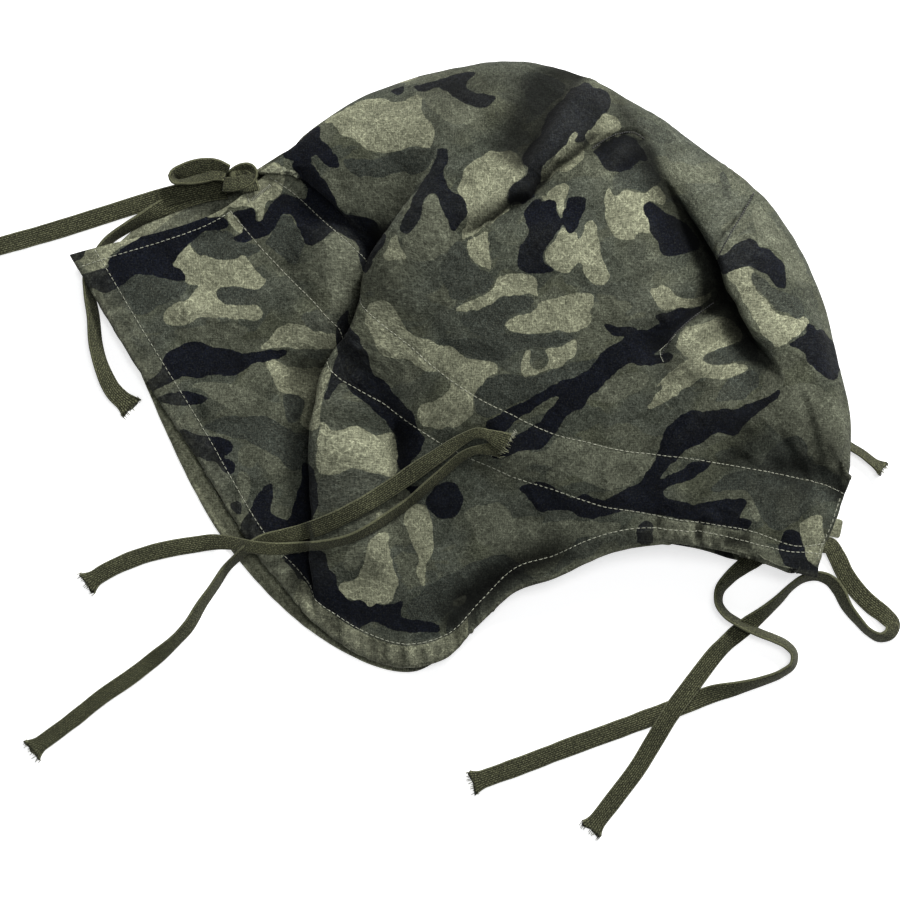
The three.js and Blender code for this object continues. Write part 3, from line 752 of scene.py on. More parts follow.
def farNet(sections):
    # five columns: the seam, halfway down from it, the floor, the middle and the hem
    top = cloth["seamHeight"] - cloth["seamGap"]
    columns = [(0, top), (0, 0.45 * top), (2, 0.0), (4, 0.0), (6, 0.0)]
    return np.stack([np.insert(sections[:, at:at + 2], 2, height, axis=1) for at, height in columns], axis=1)


def netSurface(net, rows, knots, strips):
    # P(u, v) = sum over rows and columns of weight(u) weight(v) net, with u in mm of girth
    steps = np.linalg.norm(np.diff(net, axis=0), axis=2)
    girth = np.concatenate([[0.0], np.cumsum((steps[:, 0] + steps[:, -1]) / 2)])
    stretches = zip(knots[:-1], knots[1:], strips)
    places = [np.linspace(low, high, count, endpoint=False) for low, high, count in stretches]
    rowWeights = hermiteMatrix(girth, np.linspace(0, girth[-1], rows))
    columnWeights = hermiteMatrix(knots, np.concatenate(places + [[1.0]]))
    return np.einsum("ri,ijk,cj->rck", rowWeights, net, columnWeights)


def gridNormals(grid, side):
    # across the two directions of the grid; side is 1 where that points out of the cloth
    return side * unit(np.cross(np.gradient(grid, axis=0), np.gradient(grid, axis=1)))


def closedCloth(outer, normals, thickness):
    # a shell: the outer grid, an inner grid with one point in every few columns, and rounded rims; the last
    # value says which points are the inner grid
    rows, columns = outer.shape[:2]
    every = cloth["innerEvery"]
    inner = (outer - normals * thickness[..., None])[:, ::every]
    few = inner.shape[1]
    middle = outer - normals * thickness[..., None] * 0.5
    hemRim = middle[:, -1] + unit(outer[:, -1] - outer[:, -2]) * thickness[:, -1:] * 0.45
    seamRim = middle[:, 0] + unit(outer[:, 0] - outer[:, 1]) * thickness[:, :1] * 0.3
    points = np.concatenate([outer.reshape(-1, 3), inner.reshape(-1, 3), hemRim, seamRim])
    start = rows * columns
    hem = start + rows * few
    seam = hem + rows
    row = np.arange(rows - 1)
    # the four strips between the grids and the rims join two lines of points each: first point and step
    edges = {
        "outerHem": (columns - 1, columns), "hem": (hem, 1), "innerHem": (start + few - 1, few),
        "outerSeam": (0, columns), "seam": (seam, 1), "innerSeam": (start, few),
    }

    def strip(one, other):
        a = edges[one][0] + row * edges[one][1]
        b = edges[other][0] + row * edges[other][1]
        return np.stack([a, a + edges[one][1], b + edges[other][1], b], axis=-1)

    faces = [
        gridQuads(rows, columns), gridQuads(rows, few, start)[:, [0, 3, 2, 1]],
        strip("outerHem", "hem"), strip("hem", "innerHem"),
        strip("outerSeam", "seam")[:, [1, 0, 3, 2]], strip("seam", "innerSeam")[:, [1, 0, 3, 2]],
    ]
    for end, turn in ((0, 1), (rows - 1, -1)):
        first = end * columns
        firstInner = start + end * few
        cell = np.arange(few - 1)[:, None]
        outerSide = first + cell * every + np.arange(every + 1)
        ends = np.concatenate([outerSide, firstInner + cell + [[1, 0]]], axis=1)
        caps = np.array([
            [first + columns - 1, hem + end, firstInner + few - 1], [firstInner, seam + end, first],
        ])
        faces += [ends[:, ::turn], caps[:, ::turn]]
    return points, faces, slice(start, hem)


def spread(values):
    # one number for each point of a closed cloth, from one for each point of its outer grid
    inner = values[:, ::cloth["innerEvery"]]
    return np.concatenate([values.reshape(-1), inner.reshape(-1), values[:, -1], values[:, 0]])


def clothPlace(grid, middle):
    # where each point lies on the flat cloth: its plan place, pushed outward past column middle by as much as
    # the cloth is longer than its plan
    def lengths(steps):
        return np.pad(np.cumsum(np.linalg.norm(steps, axis=2), axis=1), ((0, 0), (1, 0)))

    steps = np.diff(grid, axis=1)
    full = lengths(steps)
    plan = lengths(steps[..., :2])
    extra = np.maximum((full[:, middle:middle + 1] - full) - (plan[:, middle:middle + 1] - plan), 0)
    outward = unit(grid[:, 0, :2] - grid[:, middle, :2])
    return grid[..., :2] + outward[:, None, :] * extra[..., None], full


def blurred(values, rows, columns):
    # a mean over 2 rows + 1 by 2 columns + 1 neighbours, taken twice, from running sums
    for axis, reach in ((0, rows), (1, columns)):
        for _ in range(2):
            padding = [(0, 0), (0, 0)]
            padding[axis] = (reach + 1, reach)
            total = np.cumsum(np.pad(values, padding, mode="edge"), axis=axis)
            size = values.shape[axis]
            high = np.take(total, np.arange(size) + 2 * reach + 1, axis=axis)
            values = (high - np.take(total, np.arange(size), axis=axis)) / (2 * reach + 1)
    return values


# print: outlines charted, x to the right and y down in chart units of 0.42 mm
chart = {"unit": 0.42, "column": 462.0, "row": 365.0}
printShapes = {}
printShapes["printNavy"] = [
    [80,276, 92,272, 107,268, 108,258, 120,250, 128,243, 140,238, 158,230, 166,222, 176,214, 186,211, 208,218,
     226,215, 228,226, 220,230, 205,231, 195,238, 185,248, 178,258, 170,263, 182,270, 186,276, 184,281,
     165,280, 145,273, 135,275, 128,281, 120,287, 104,294, 90,287],
    [68,253, 76,247, 88,245, 85,252, 78,261, 72,258],
    [283,152, 300,138, 318,124, 322,128, 321,137, 326,147, 334,152, 340,158, 341,166, 335,168, 326,166,
     320,160, 315,153, 310,160, 315,170, 322,176, 328,183, 332,190, 334,200, 338,208, 345,213, 353,215,
     372,219, 377,222, 378,230, 386,234, 384,245, 375,258, 370,272, 363,273, 360,260, 360,248, 355,242,
     348,238, 336,231, 330,233, 322,240, 312,247, 305,244, 302,236, 297,228, 297,221, 292,215, 284,213,
     278,217, 276,226, 268,234, 254,241, 238,242, 232,237, 238,234, 245,233, 243,224, 236,216, 232,212,
     238,209, 248,207, 254,211, 257,222, 261,221, 264,214, 270,206, 274,200, 282,193, 290,195, 300,199,
     306,200, 307,190, 303,182, 296,176, 293,168, 292,160, 286,158],
    [145,383, 152,376, 160,370, 163,362, 168,352, 176,346, 188,343, 200,342, 210,345, 214,348, 222,347,
     242,353, 255,351, 270,349, 284,349, 289,352, 282,358, 262,361, 250,366, 243,373, 236,377, 226,377,
     219,374, 208,377, 196,379, 184,377, 175,381, 157,388, 150,393],
    [155,397, 168,392, 182,391, 196,392, 207,395, 206,401, 200,404, 186,405, 172,404, 160,401],
    # navy print that runs on into the slit beside the main fold, where it is painted shade
    [337,318, 344,312, 352,307, 348,320, 352,332, 360,335, 362,345, 368,358, 371,370, 378,376, 386,384,
     398,400, 408,407, 415,412, 416,422, 422,432, 424,440, 420,450, 412,460, 402,474, 398,462, 397,448,
     396,438, 391,428, 382,420, 375,412, 366,402, 358,396, 350,391, 345,384, 340,378, 334,390, 330,398,
     325,402, 326,390, 329,376, 334,362, 338,352, 336,340],
    [387,86, 396,82, 405,80, 402,90, 396,93],
    [412,80, 430,76, 450,69, 477,63, 472,72, 466,78, 466,85, 474,90, 484,93, 496,94, 497,100, 492,104,
     484,108, 474,106, 462,101, 454,97, 450,90, 442,86, 436,82, 428,86, 418,88],
    [580,80, 568,88, 562,98, 550,112, 544,122, 538,135, 530,145, 524,155, 522,163, 528,168, 528,173, 520,180,
     510,186, 507,194, 508,203, 513,208, 522,204, 532,198, 536,195, 538,188, 541,180, 540,170, 550,161,
     560,152, 566,144, 572,136, 578,130, 579,136, 573,144, 584,142, 586,134, 592,128, 596,120, 604,112,
     611,105, 613,96, 610,87, 603,81, 595,80, 592,75, 584,75],
    [527,208, 532,200, 540,197, 543,203, 550,200, 556,203, 558,212, 561,222, 564,214, 566,200, 574,197,
     584,198, 587,202, 584,210, 580,218, 578,226, 574,232, 568,232, 562,224, 556,232, 552,240, 546,248,
     544,256, 545,264, 552,268, 555,271, 548,273, 535,274, 522,273, 517,265, 520,252, 523,240, 527,232,
     528,222, 524,214],
    [436,150, 446,148, 449,154, 447,164, 443,172, 446,180, 450,190, 460,195, 466,203, 467,215, 462,226,
     455,232, 450,228, 450,220, 443,212, 438,203, 437,195, 430,191, 424,198, 422,206, 422,216, 416,226,
     408,233, 402,233, 400,226, 404,216, 410,205, 416,194, 422,184, 428,175, 434,165],
    [589,151, 600,144, 612,138, 624,134, 634,137, 643,145, 649,156, 646,160, 638,162, 632,168, 622,172,
     610,171, 603,164, 597,156],
    [643,205, 649,201, 655,204, 660,210, 670,213, 680,219, 690,226, 697,236, 701,250, 684,255, 672,257,
     662,256, 659,248, 658,240, 651,232, 650,222, 645,214],
    [716,256, 730,250, 738,242, 750,238, 758,241, 760,248, 770,248, 775,254, 782,261, 786,270, 786,280,
     787,288, 780,289, 772,283, 766,275, 757,269, 748,267, 738,268, 728,272, 720,274],
    [787,343, 796,338, 804,334, 806,326, 812,322, 816,330, 824,328, 828,336, 838,340, 842,352, 842,366,
     836,381, 826,378, 818,370, 808,362, 802,352, 794,347],
    [706,305, 688,309, 675,309, 662,312, 653,317, 661,322, 655,325, 640,331, 634,326, 616,327, 608,323,
     601,324, 606,331, 614,336, 624,337, 622,341, 612,345, 604,350, 599,356, 593,366, 585,374, 575,377,
     560,381, 550,388, 540,394, 528,399, 516,405, 505,412, 494,419, 486,424, 490,431, 500,437, 508,430,
     516,420, 526,413, 538,407, 548,400, 556,396, 561,398, 556,405, 546,414, 536,423, 524,431, 514,437,
     504,442, 494,450, 490,458, 500,460, 510,455, 520,451, 532,450, 545,447, 552,438, 558,430, 563,420,
     573,413, 584,406, 592,396, 602,386, 612,376, 622,367, 632,362, 642,364, 654,366, 664,364, 672,360,
     672,355, 664,353, 652,357, 660,349, 668,341, 678,331, 688,320, 702,312],
    [447,481, 456,484, 461,492, 464,504, 460,512, 452,519, 442,519, 434,514, 428,508, 424,502, 430,494,
     438,486],
    [400,494, 404,488, 412,484, 418,486, 414,494, 406,498],
    [518,486, 524,484, 546,484, 554,487, 560,492, 570,497, 578,498, 586,494, 600,500, 612,498, 622,492,
     632,485, 642,480, 650,470, 655,458, 660,448, 662,438, 667,428, 674,420, 684,412, 696,410, 706,412,
     716,409, 728,409, 740,408, 750,403, 760,398, 770,396, 778,387, 780,396, 770,402, 762,409, 756,416,
     748,420, 742,430, 734,436, 724,435, 717,434, 708,438, 702,443, 688,448, 682,454, 676,460, 668,466,
     659,477, 662,479, 672,474, 682,468, 694,463, 704,460, 712,462, 706,470, 700,475, 690,480, 680,482,
     672,484, 666,488, 662,494, 667,499, 680,500, 690,503, 700,504, 712,502, 724,500, 735,497, 745,498,
     748,502, 746,508, 736,518, 746,518, 752,520, 752,528, 744,531, 724,526, 704,526, 700,522, 676,519,
     650,514, 628,511, 618,512, 606,516, 594,518, 582,517, 572,512, 560,511, 540,512, 534,504, 526,498],
    [637,546, 637,533, 641,521, 652,521, 653,532, 653,546],
    [776,548, 780,538, 784,531, 792,529, 799,532, 802,540, 805,550, 806,558, 812,566, 820,568, 820,578,
     806,577, 790,570, 782,560],
    [822,548, 826,543, 832,545, 826,553],
    [178,432, 184,428, 200,434, 210,436, 222,438, 230,440, 235,447, 232,454, 224,456, 222,458, 230,460,
     236,466, 234,473, 226,474, 220,468, 214,462, 208,464, 202,458, 190,452, 182,442],
    [228,504, 235,501, 240,499, 241,506, 240,518, 234,512],
    [240,522, 246,516, 251,508, 254,500, 259,492, 265,485, 272,483, 274,488, 273,500, 271,510, 276,517,
     284,519, 290,518, 292,508, 295,502, 300,505, 303,520, 322,520, 320,528, 300,530, 285,531, 270,534,
     262,542, 250,542, 242,534],
    # painted shade: a dark patch in the deep pocket beside the main fold
    [300,463, 312,462, 317,480, 317,516, 304,520, 300,508, 296,498, 298,486, 304,478],
    [278,556, 304,552, 328,550, 326,560, 330,568, 337,574, 338,584, 340,592, 348,600, 363,601, 365,606,
     370,609, 376,603, 380,606, 386,607, 394,605, 400,600, 406,601, 402,610, 400,616, 406,620, 416,622,
     430,622, 440,624, 440,630, 430,634, 416,634, 402,632, 380,624, 368,622, 360,628, 354,632, 346,624,
     330,612, 310,598, 302,588, 296,576, 288,566],
    [296,596, 304,590, 312,600, 320,610, 330,622, 336,630, 334,638, 320,630, 304,614],
    [700,118, 724,112, 744,136, 734,148, 712,134],
    [812,212, 830,226, 836,250, 824,254, 812,232],
    [858,330, 872,340, 868,372, 856,380, 854,350],
    [330,84, 352,70, 372,66, 364,80, 340,96],
    [868,440, 884,446, 880,486, 866,480],
]
printShapes["printKhaki"] = [
    [66,258, 72,251, 91,243, 130,226, 158,212, 184,202, 226,199, 228,209, 196,211, 184,214, 165,223, 150,229,
     135,239, 118,242, 104,250, 86,253, 78,262],
    [172,262, 184,250, 190,244, 194,250, 202,255, 214,259, 228,259, 240,258, 246,256, 250,264, 256,271,
     263,276, 268,279, 262,287, 256,291, 248,288, 236,286, 224,287, 217,291, 217,298, 224,303, 234,305,
     246,306, 256,304, 262,309, 264,317, 256,320, 244,320, 222,316, 212,318, 200,317, 190,322, 178,326,
     168,324, 163,318, 167,309, 175,303, 186,300, 192,292, 200,287, 187,282, 186,276, 180,270, 172,268],
    [190,209, 200,206, 212,200, 226,200, 227,213, 216,217, 204,217],
    [86,244, 110,240, 130,230, 145,218, 160,206, 175,202, 188,205, 184,212, 172,218, 168,224, 158,228,
     140,238, 128,243, 115,250, 108,258, 107,268, 98,272, 84,271, 80,262, 84,256, 90,252],
    [230,212, 236,216, 243,224, 246,232, 240,233, 232,228, 227,220, 227,214],
    [258,166, 276,162, 284,170, 284,190, 276,196, 270,200, 265,208, 262,220, 258,221, 256,212, 250,207,
     240,206, 232,208, 224,204, 228,196, 250,190, 256,180],
    [258,346, 274,335, 278,328, 286,324, 298,322, 305,326, 312,332, 324,333, 338,332, 338,348, 326,350,
     312,350, 300,348, 278,349, 262,350],
    [264,362, 276,360, 284,366, 298,368, 312,367, 322,370, 332,366, 328,380, 324,395, 322,415, 317,430,
     308,430, 300,422, 302,410, 306,402, 300,395, 290,394, 280,392, 274,382, 270,372],
    [322,120, 340,110, 352,103, 362,98, 372,97, 382,96, 392,101, 400,101, 408,96, 417,93, 422,97, 420,105,
     424,115, 430,120, 436,128, 435,138, 432,146, 424,149, 412,147, 400,150, 388,153, 374,152, 364,148,
     358,142, 342,135, 334,124],
    [482,155, 490,149, 500,151, 510,150, 518,154, 520,163, 528,172, 520,178, 512,183, 508,190, 507,200,
     511,208, 504,214, 494,220, 484,228, 472,235, 462,240, 460,232, 466,224, 468,214, 467,204, 462,196,
     457,190, 460,182, 463,172, 470,163, 478,158],
    [466,242, 474,238, 490,229, 489,240, 488,250, 492,260, 492,270, 484,270, 476,264, 470,255],
    [541,171, 550,164, 556,158, 562,148, 568,140, 577,129, 580,135, 574,144, 582,142, 585,150, 582,160,
     574,168, 565,172, 558,170, 550,176, 542,182, 538,185],
    [541,196, 550,194, 558,186, 565,183, 570,186, 568,195, 564,202, 564,214, 560,217, 557,210, 555,202,
     549,201],
    [556,240, 562,225, 568,233, 575,232, 577,240, 580,236, 584,228, 589,220, 596,226, 598,238, 600,252,
     604,262, 610,276, 606,284, 600,286, 590,282, 583,276, 580,262, 574,266, 570,274, 560,274, 552,268,
     545,262, 546,250],
    [454,309, 462,303, 474,299, 484,296, 492,290, 497,280, 504,275, 518,274, 530,274, 537,278, 538,288,
     540,297, 532,295, 508,296, 496,300, 488,307, 478,311, 464,311],
    [504,323, 512,317, 524,314, 534,310, 541,302, 550,299, 560,297, 570,293, 580,294, 590,293, 595,298,
     592,306, 588,312, 593,318, 590,326, 580,331, 570,333, 556,330, 540,332, 524,333, 512,331],
    [366,306, 374,302, 386,301, 394,308, 400,318, 406,328, 414,335, 432,343, 442,345, 452,344, 458,352,
     464,358, 474,360, 496,361, 499,367, 500,374, 492,377, 482,383, 476,390, 473,397, 473,408, 472,416,
     464,424, 458,428, 446,427, 436,429, 424,428, 417,420, 416,410, 424,402, 442,399, 450,390, 450,382,
     446,376, 438,371, 428,371, 418,367, 408,359, 396,358, 386,356, 378,350, 374,340, 370,332, 366,326,
     364,316],
    [380,256, 388,247, 392,238, 398,236, 400,245, 406,252, 408,260, 400,259, 386,260],
    [524,352, 530,349, 529,358, 530,366, 538,371, 546,367, 550,358, 544,350, 556,348, 566,343, 577,338,
     577,348, 575,358, 566,362, 556,367, 544,372, 532,377, 524,377, 520,370],
    [583,132, 590,126, 596,120, 597,114, 606,111, 614,113, 620,118, 622,128, 616,134, 606,138, 598,142,
     590,147, 587,140],
    [604,190, 608,184, 612,194, 617,196, 623,190, 632,192, 644,195, 648,190, 656,186, 663,188, 667,198,
     664,206, 656,204, 649,200, 643,205, 646,216, 650,224, 652,232, 646,234, 640,233, 634,240, 626,240,
     616,236, 610,228, 606,220, 606,208],
    [648,288, 656,290, 662,286, 668,288, 674,295, 684,297, 696,298, 706,294, 714,291, 708,300, 700,307,
     688,308, 674,308, 664,310, 658,304],
    [675,346, 677,338, 683,329, 694,325, 704,322, 714,318, 721,316, 729,320, 737,327, 742,333, 741,342,
     722,347, 711,351, 703,358, 696,360, 690,356, 682,358],
    [648,404, 655,395, 664,387, 660,384, 654,387, 662,380, 671,372, 682,364, 692,356, 700,358, 704,364,
     718,365, 732,362, 744,363, 749,368, 742,374, 730,378, 716,379, 703,378, 693,385, 682,391, 671,399,
     660,406, 650,409],
    [726,272, 736,269, 748,268, 756,270, 750,276, 752,286, 760,296, 768,300, 772,308, 780,314, 790,316,
     798,322, 804,316, 810,320, 804,330, 794,338, 784,345, 776,348, 770,342, 758,326, 750,312, 738,292],
    [317,428, 323,422, 328,422, 332,430, 342,430, 358,425, 364,428, 378,436, 394,432, 397,440, 398,455,
     398,470, 394,478, 380,473, 362,470, 352,469, 344,470, 326,476, 316,473],
    [404,514, 410,504, 420,502, 427,508, 430,520, 433,532, 434,545, 432,558, 426,568, 426,580, 422,590,
     416,576, 414,568, 418,560, 417,552, 412,546, 410,536, 404,528],
    [373,514, 380,511, 386,515, 386,520, 380,522],
    [386,530, 390,536, 388,545, 390,556, 392,566, 398,574, 400,582, 396,592, 392,602, 384,607, 379,602,
     368,609, 364,602, 346,599, 340,590, 338,580, 354,582, 360,572, 364,552, 370,538, 378,534],
    [798,524, 806,518, 814,515, 822,516, 820,524, 824,534, 828,540, 824,550, 822,560, 816,566, 808,565,
     805,556, 803,545, 800,535],
    [776,168, 800,190, 812,208, 800,214, 784,192],
    [850,270, 862,290, 868,322, 856,326, 846,296],
    [380,70, 402,56, 420,60, 408,74],
]
printShapes["printOlive"] = [
    [283,158, 292,160, 295,170, 300,181, 306,188, 307,198, 303,201, 296,196, 286,192],
    [316,247, 326,238, 334,232, 342,234, 350,240, 358,246, 360,262, 352,275, 351,290, 352,304, 345,310,
     336,314, 328,312, 332,300, 330,288, 326,276, 322,268],
    [311,158, 316,170, 322,176, 334,180, 350,178, 362,180, 376,176, 388,174, 400,170, 414,170, 426,164,
     436,156, 430,172, 420,184, 412,196, 404,208, 396,216, 390,224, 384,232, 378,226, 372,219, 353,215,
     338,208, 332,190, 322,176],
    [462,242, 450,226, 446,214, 440,200, 430,192, 424,202, 424,214, 420,224, 408,234, 402,240, 408,256,
     424,262, 440,258, 452,250],
    [412,92, 418,86, 428,86, 440,84, 450,92, 460,102, 474,107, 484,110, 474,120, 462,126, 450,124, 440,118,
     430,108, 424,98],
    [500,462, 515,454, 530,452, 545,452, 552,440, 566,436, 580,440, 600,446, 620,452, 656,456, 652,466,
     646,474, 636,480, 622,486, 612,490, 600,488, 590,484, 578,478, 562,470, 548,466],
    [460,514, 470,508, 484,504, 498,503, 506,508, 512,516, 524,520, 538,524, 552,521, 580,520, 606,522,
     622,522, 620,530, 600,535, 578,538, 570,544, 562,552, 548,566, 538,574, 526,574, 514,568, 508,560,
     502,550, 494,544, 484,546, 476,540, 476,530],
    [344,552, 352,547, 360,552, 360,566, 352,574, 344,568],
    [762,412, 770,404, 782,402, 790,404, 796,416, 800,430, 792,434, 782,437, 776,432, 772,422],
    [750,400, 762,388, 764,374, 772,364, 782,368, 786,384, 778,390, 768,396],
    [752,498, 756,506, 760,514, 758,522, 752,518, 748,510],
    [604,352, 616,346, 630,342, 640,334, 652,330, 646,342, 634,352, 622,360, 610,366],
    [170,332, 190,328, 212,324, 236,324, 250,328, 246,336, 230,340, 210,338, 188,340],
    [176,386, 196,384, 214,382, 236,384, 250,390, 262,398, 250,408, 228,410, 214,400, 200,388],
    [596,392, 612,380, 628,372, 640,372, 652,376, 646,388, 632,396, 616,402, 600,404],
    [236,474, 246,470, 252,482, 250,496, 244,506, 238,494],
    [654,520, 664,518, 680,520, 712,527, 745,533, 756,536, 765,542, 774,550, 780,562, 760,562, 740,555,
     700,546, 664,544, 654,546],
    [757,200, 768,208, 780,222, 792,238, 802,250, 810,262, 806,273, 790,272, 785,264, 776,252, 770,247,
     761,246, 758,238, 756,226, 752,216],
    [757,400, 790,384, 818,384, 836,400, 846,425, 852,455, 848,466, 832,468, 815,464, 810,452, 795,444,
     780,438, 768,424, 758,414],
]
printShapes["printDark"] = [
    [190,244, 196,236, 206,231, 220,230, 232,230, 236,238, 244,242, 256,243, 262,246, 258,252, 246,256,
     236,259, 222,260, 206,257, 196,251],
    [278,217, 285,213, 293,216, 297,226, 302,236, 304,246, 300,256, 296,266, 288,264, 282,254, 272,248,
     264,244, 270,236],
    [216,292, 222,287, 236,286, 250,288, 260,292, 262,300, 256,304, 244,306, 230,305, 220,302],
    [128,281, 136,275, 146,273, 156,277, 176,280, 186,283, 186,291, 182,298, 170,302, 158,306, 148,313,
     138,315, 130,310, 112,304, 100,295, 118,288],
    [196,428, 206,424, 216,419, 230,416, 260,416, 274,419, 282,424, 290,430, 300,434, 316,436, 316,462,
     306,462, 300,470, 290,470, 284,462, 280,456, 268,452, 250,442, 228,436, 214,433],
    [300,316, 312,310, 326,316, 336,320, 338,330, 322,332, 310,330],
    # dark print with painted shade, in the band under the khaki patch above it
    [341,156, 352,160, 376,158, 390,156, 402,150, 412,147, 424,149, 440,148, 436,156, 430,164, 424,172,
     414,176, 402,172, 392,174, 380,178, 368,175, 360,178, 350,174],
    [450,246, 460,240, 466,250, 470,260, 478,268, 488,272, 496,278, 492,288, 484,294, 472,298, 460,300,
     450,296, 444,284, 440,270],
    [470,312, 484,310, 492,304, 500,298, 512,295, 536,297, 532,304, 524,310, 512,313, 504,319, 502,328,
     508,334, 496,338, 480,336, 466,330, 458,320],
    [432,342, 444,338, 460,340, 478,338, 520,334, 556,334, 580,336, 572,340, 548,347, 530,346, 520,352,
     508,358, 500,362, 486,360, 470,358, 460,350],
    [472,398, 476,390, 484,382, 496,376, 508,375, 532,378, 546,373, 560,367, 576,362, 600,358, 594,368,
     584,374, 570,378, 556,383, 545,391, 530,398, 516,404, 504,411, 494,417, 484,420, 476,414],
    [702,360, 710,352, 722,347, 742,342, 750,338, 758,345, 760,356, 756,363, 746,362, 738,360, 714,365],
    [712,404, 722,388, 730,378, 742,374, 752,370, 760,376, 758,386, 750,394, 740,402, 730,400],
    [780,440, 790,436, 800,436, 808,442, 808,456, 812,464, 820,466, 838,472, 844,484, 844,495, 836,502,
     826,500, 816,505, 800,516, 790,526, 780,530, 770,528, 762,520, 758,510, 752,498, 744,490, 736,488,
     716,494, 708,490, 716,482, 730,474, 744,470, 756,468, 764,462, 770,452],
    [316,478, 326,477, 336,473, 346,470, 360,470, 374,472, 388,480, 384,486, 372,494, 360,498, 332,510,
     316,514],
    [282,394, 290,394, 300,395, 306,403, 302,412, 300,422, 292,424, 286,416],
    # painted shade: a dark band along the ear's front hem
    [470,580, 484,574, 500,566, 512,570, 526,576, 540,578, 552,572, 560,560, 570,548, 580,542, 600,537,
     590,550, 560,572, 540,584, 520,594, 500,606, 480,622, 452,650, 446,630, 450,612, 458,596],
    [572,541, 584,537, 596,538, 606,541, 600,548, 590,558, 574,560],
    # painted shade: a thin dark strip on the cape
    [120,318, 130,326, 138,336, 146,346, 150,352, 142,350, 132,338],
    [720,168, 726,164, 730,178, 732,192, 728,200, 722,194],
    [700,236, 710,232, 716,242, 712,252],
    [748,270, 756,272, 764,280, 774,288, 788,292, 800,300, 806,312, 798,320, 790,314, 780,312, 772,304,
     760,292, 752,284],
    [612,174, 620,172, 634,166, 646,162, 654,166, 660,178, 656,186, 644,192, 632,190, 622,188, 613,192],
    [524,66, 540,66, 556,72, 566,80, 562,92, 552,104, 540,116, 530,112, 526,96, 520,82],
    [640,110, 654,116, 668,124, 680,132, 672,140, 656,140, 646,132, 636,124],
    [420,632, 434,630, 446,636, 440,650, 424,650, 408,644],
    [330,640, 345,632, 360,640, 370,650, 360,658, 340,650],
    [405,607, 411,622, 432,624, 450,612, 468,600, 492,588, 515,580, 530,572, 516,560, 500,553, 480,560,
     462,568, 440,580, 420,592],
]

# how each colour's edges wander
printNoise = {
    "seeds": {"printOlive": 41, "printNavy": 11, "printKhaki": 21, "printDark": 31},
    "reach": 3.0,  # mm from a shape within which its distance is worked out
    "waves": [(0.7, 4.6, 0), (0.35, 2.2, 2)],  # mm high and long, and what is added to the seed
}


def outline(shape):
    # a charted outline in mm with its corners cut: points at 1/4 and 3/4 of every side
    points = np.array(shape, float).reshape(-1, 2)
    points = np.column_stack([points[:, 0] - chart["column"], chart["row"] - points[:, 1]]) * chart["unit"]
    following = np.roll(points, -1, axis=0)
    corners = np.stack([points * 0.75 + following * 0.25, points * 0.25 + following * 0.75], axis=1)
    return corners.reshape(-1, 2)


def printField(places, name):
    # signed distance to the nearest edge in mm, above 0 inside a shape, with small waves along the edges;
    # farther than reach from every shape it stays at -reach
    x = places[..., 0]
    y = places[..., 1]
    reach = printNoise["reach"]
    (high, size, more), (highTwo, sizeTwo, moreTwo) = printNoise["waves"]

    def wave(seed):
        return high * softNoise(x, y, size, seed + more) + highTwo * softNoise(x, y, sizeTwo, seed + moreTwo)

    flatX = (x + wave(printNoise["seeds"][name])).reshape(-1)
    flatY = (y + wave(printNoise["seeds"][name] + 1)).reshape(-1)
    field = np.full(x.size, -reach)
    for shape in printShapes[name]:
        corners = outline(shape)
        lowX, lowY = corners.min(axis=0) - reach
        highX, highY = corners.max(axis=0) + reach
        near = np.nonzero((flatX > lowX) & (flatX < highX) & (flatY > lowY) & (flatY < highY))[0]
        px = flatX[near]
        py = flatY[near]
        nearest = np.full(len(near), 1e9)
        inside = np.zeros(len(near), bool)
        for (ax, ay), (bx, by) in zip(corners, np.roll(corners, -1, axis=0)):
            dx = bx - ax
            dy = by - ay
            t = np.clip(((px - ax) * dx + (py - ay) * dy) / (dx * dx + dy * dy + 1e-12), 0, 1)
            nearest = np.minimum(nearest, (px - ax - t * dx) ** 2 + (py - ay - t * dy) ** 2)
            crosses = (ay > py) != (by > py)
            inside ^= crosses & (px < ax + (py - ay) * dx / (dy if dy else 1e-9))
        signed = np.where(inside, 1.0, -1.0) * np.sqrt(nearest)
        field[near] = np.maximum(field[near], signed)
    return field.reshape(x.shape)


def printAttributes(places):
    return {name: spread(printField(places, name)) for name in printNoise["seeds"]}


def laidKhaki(attributes, patch, covered):
    # khaki wherever patch, in mm, is above 0, in place of the colours that it covers
    attributes["printKhaki"] = np.maximum(attributes["printKhaki"], spread(patch))
    for name in covered:
        attributes[name] = np.minimum(attributes[name], spread(-patch))


def makePanel(name, replaced, shell, attributes, places):
    uv = np.stack([spread(places[..., 0]), spread(places[..., 1])], axis=1) * mm
    piece = makeObject(name, shell[0], shell[1], clothMaterial, attributes, uv)
    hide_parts(replaced)
    return piece


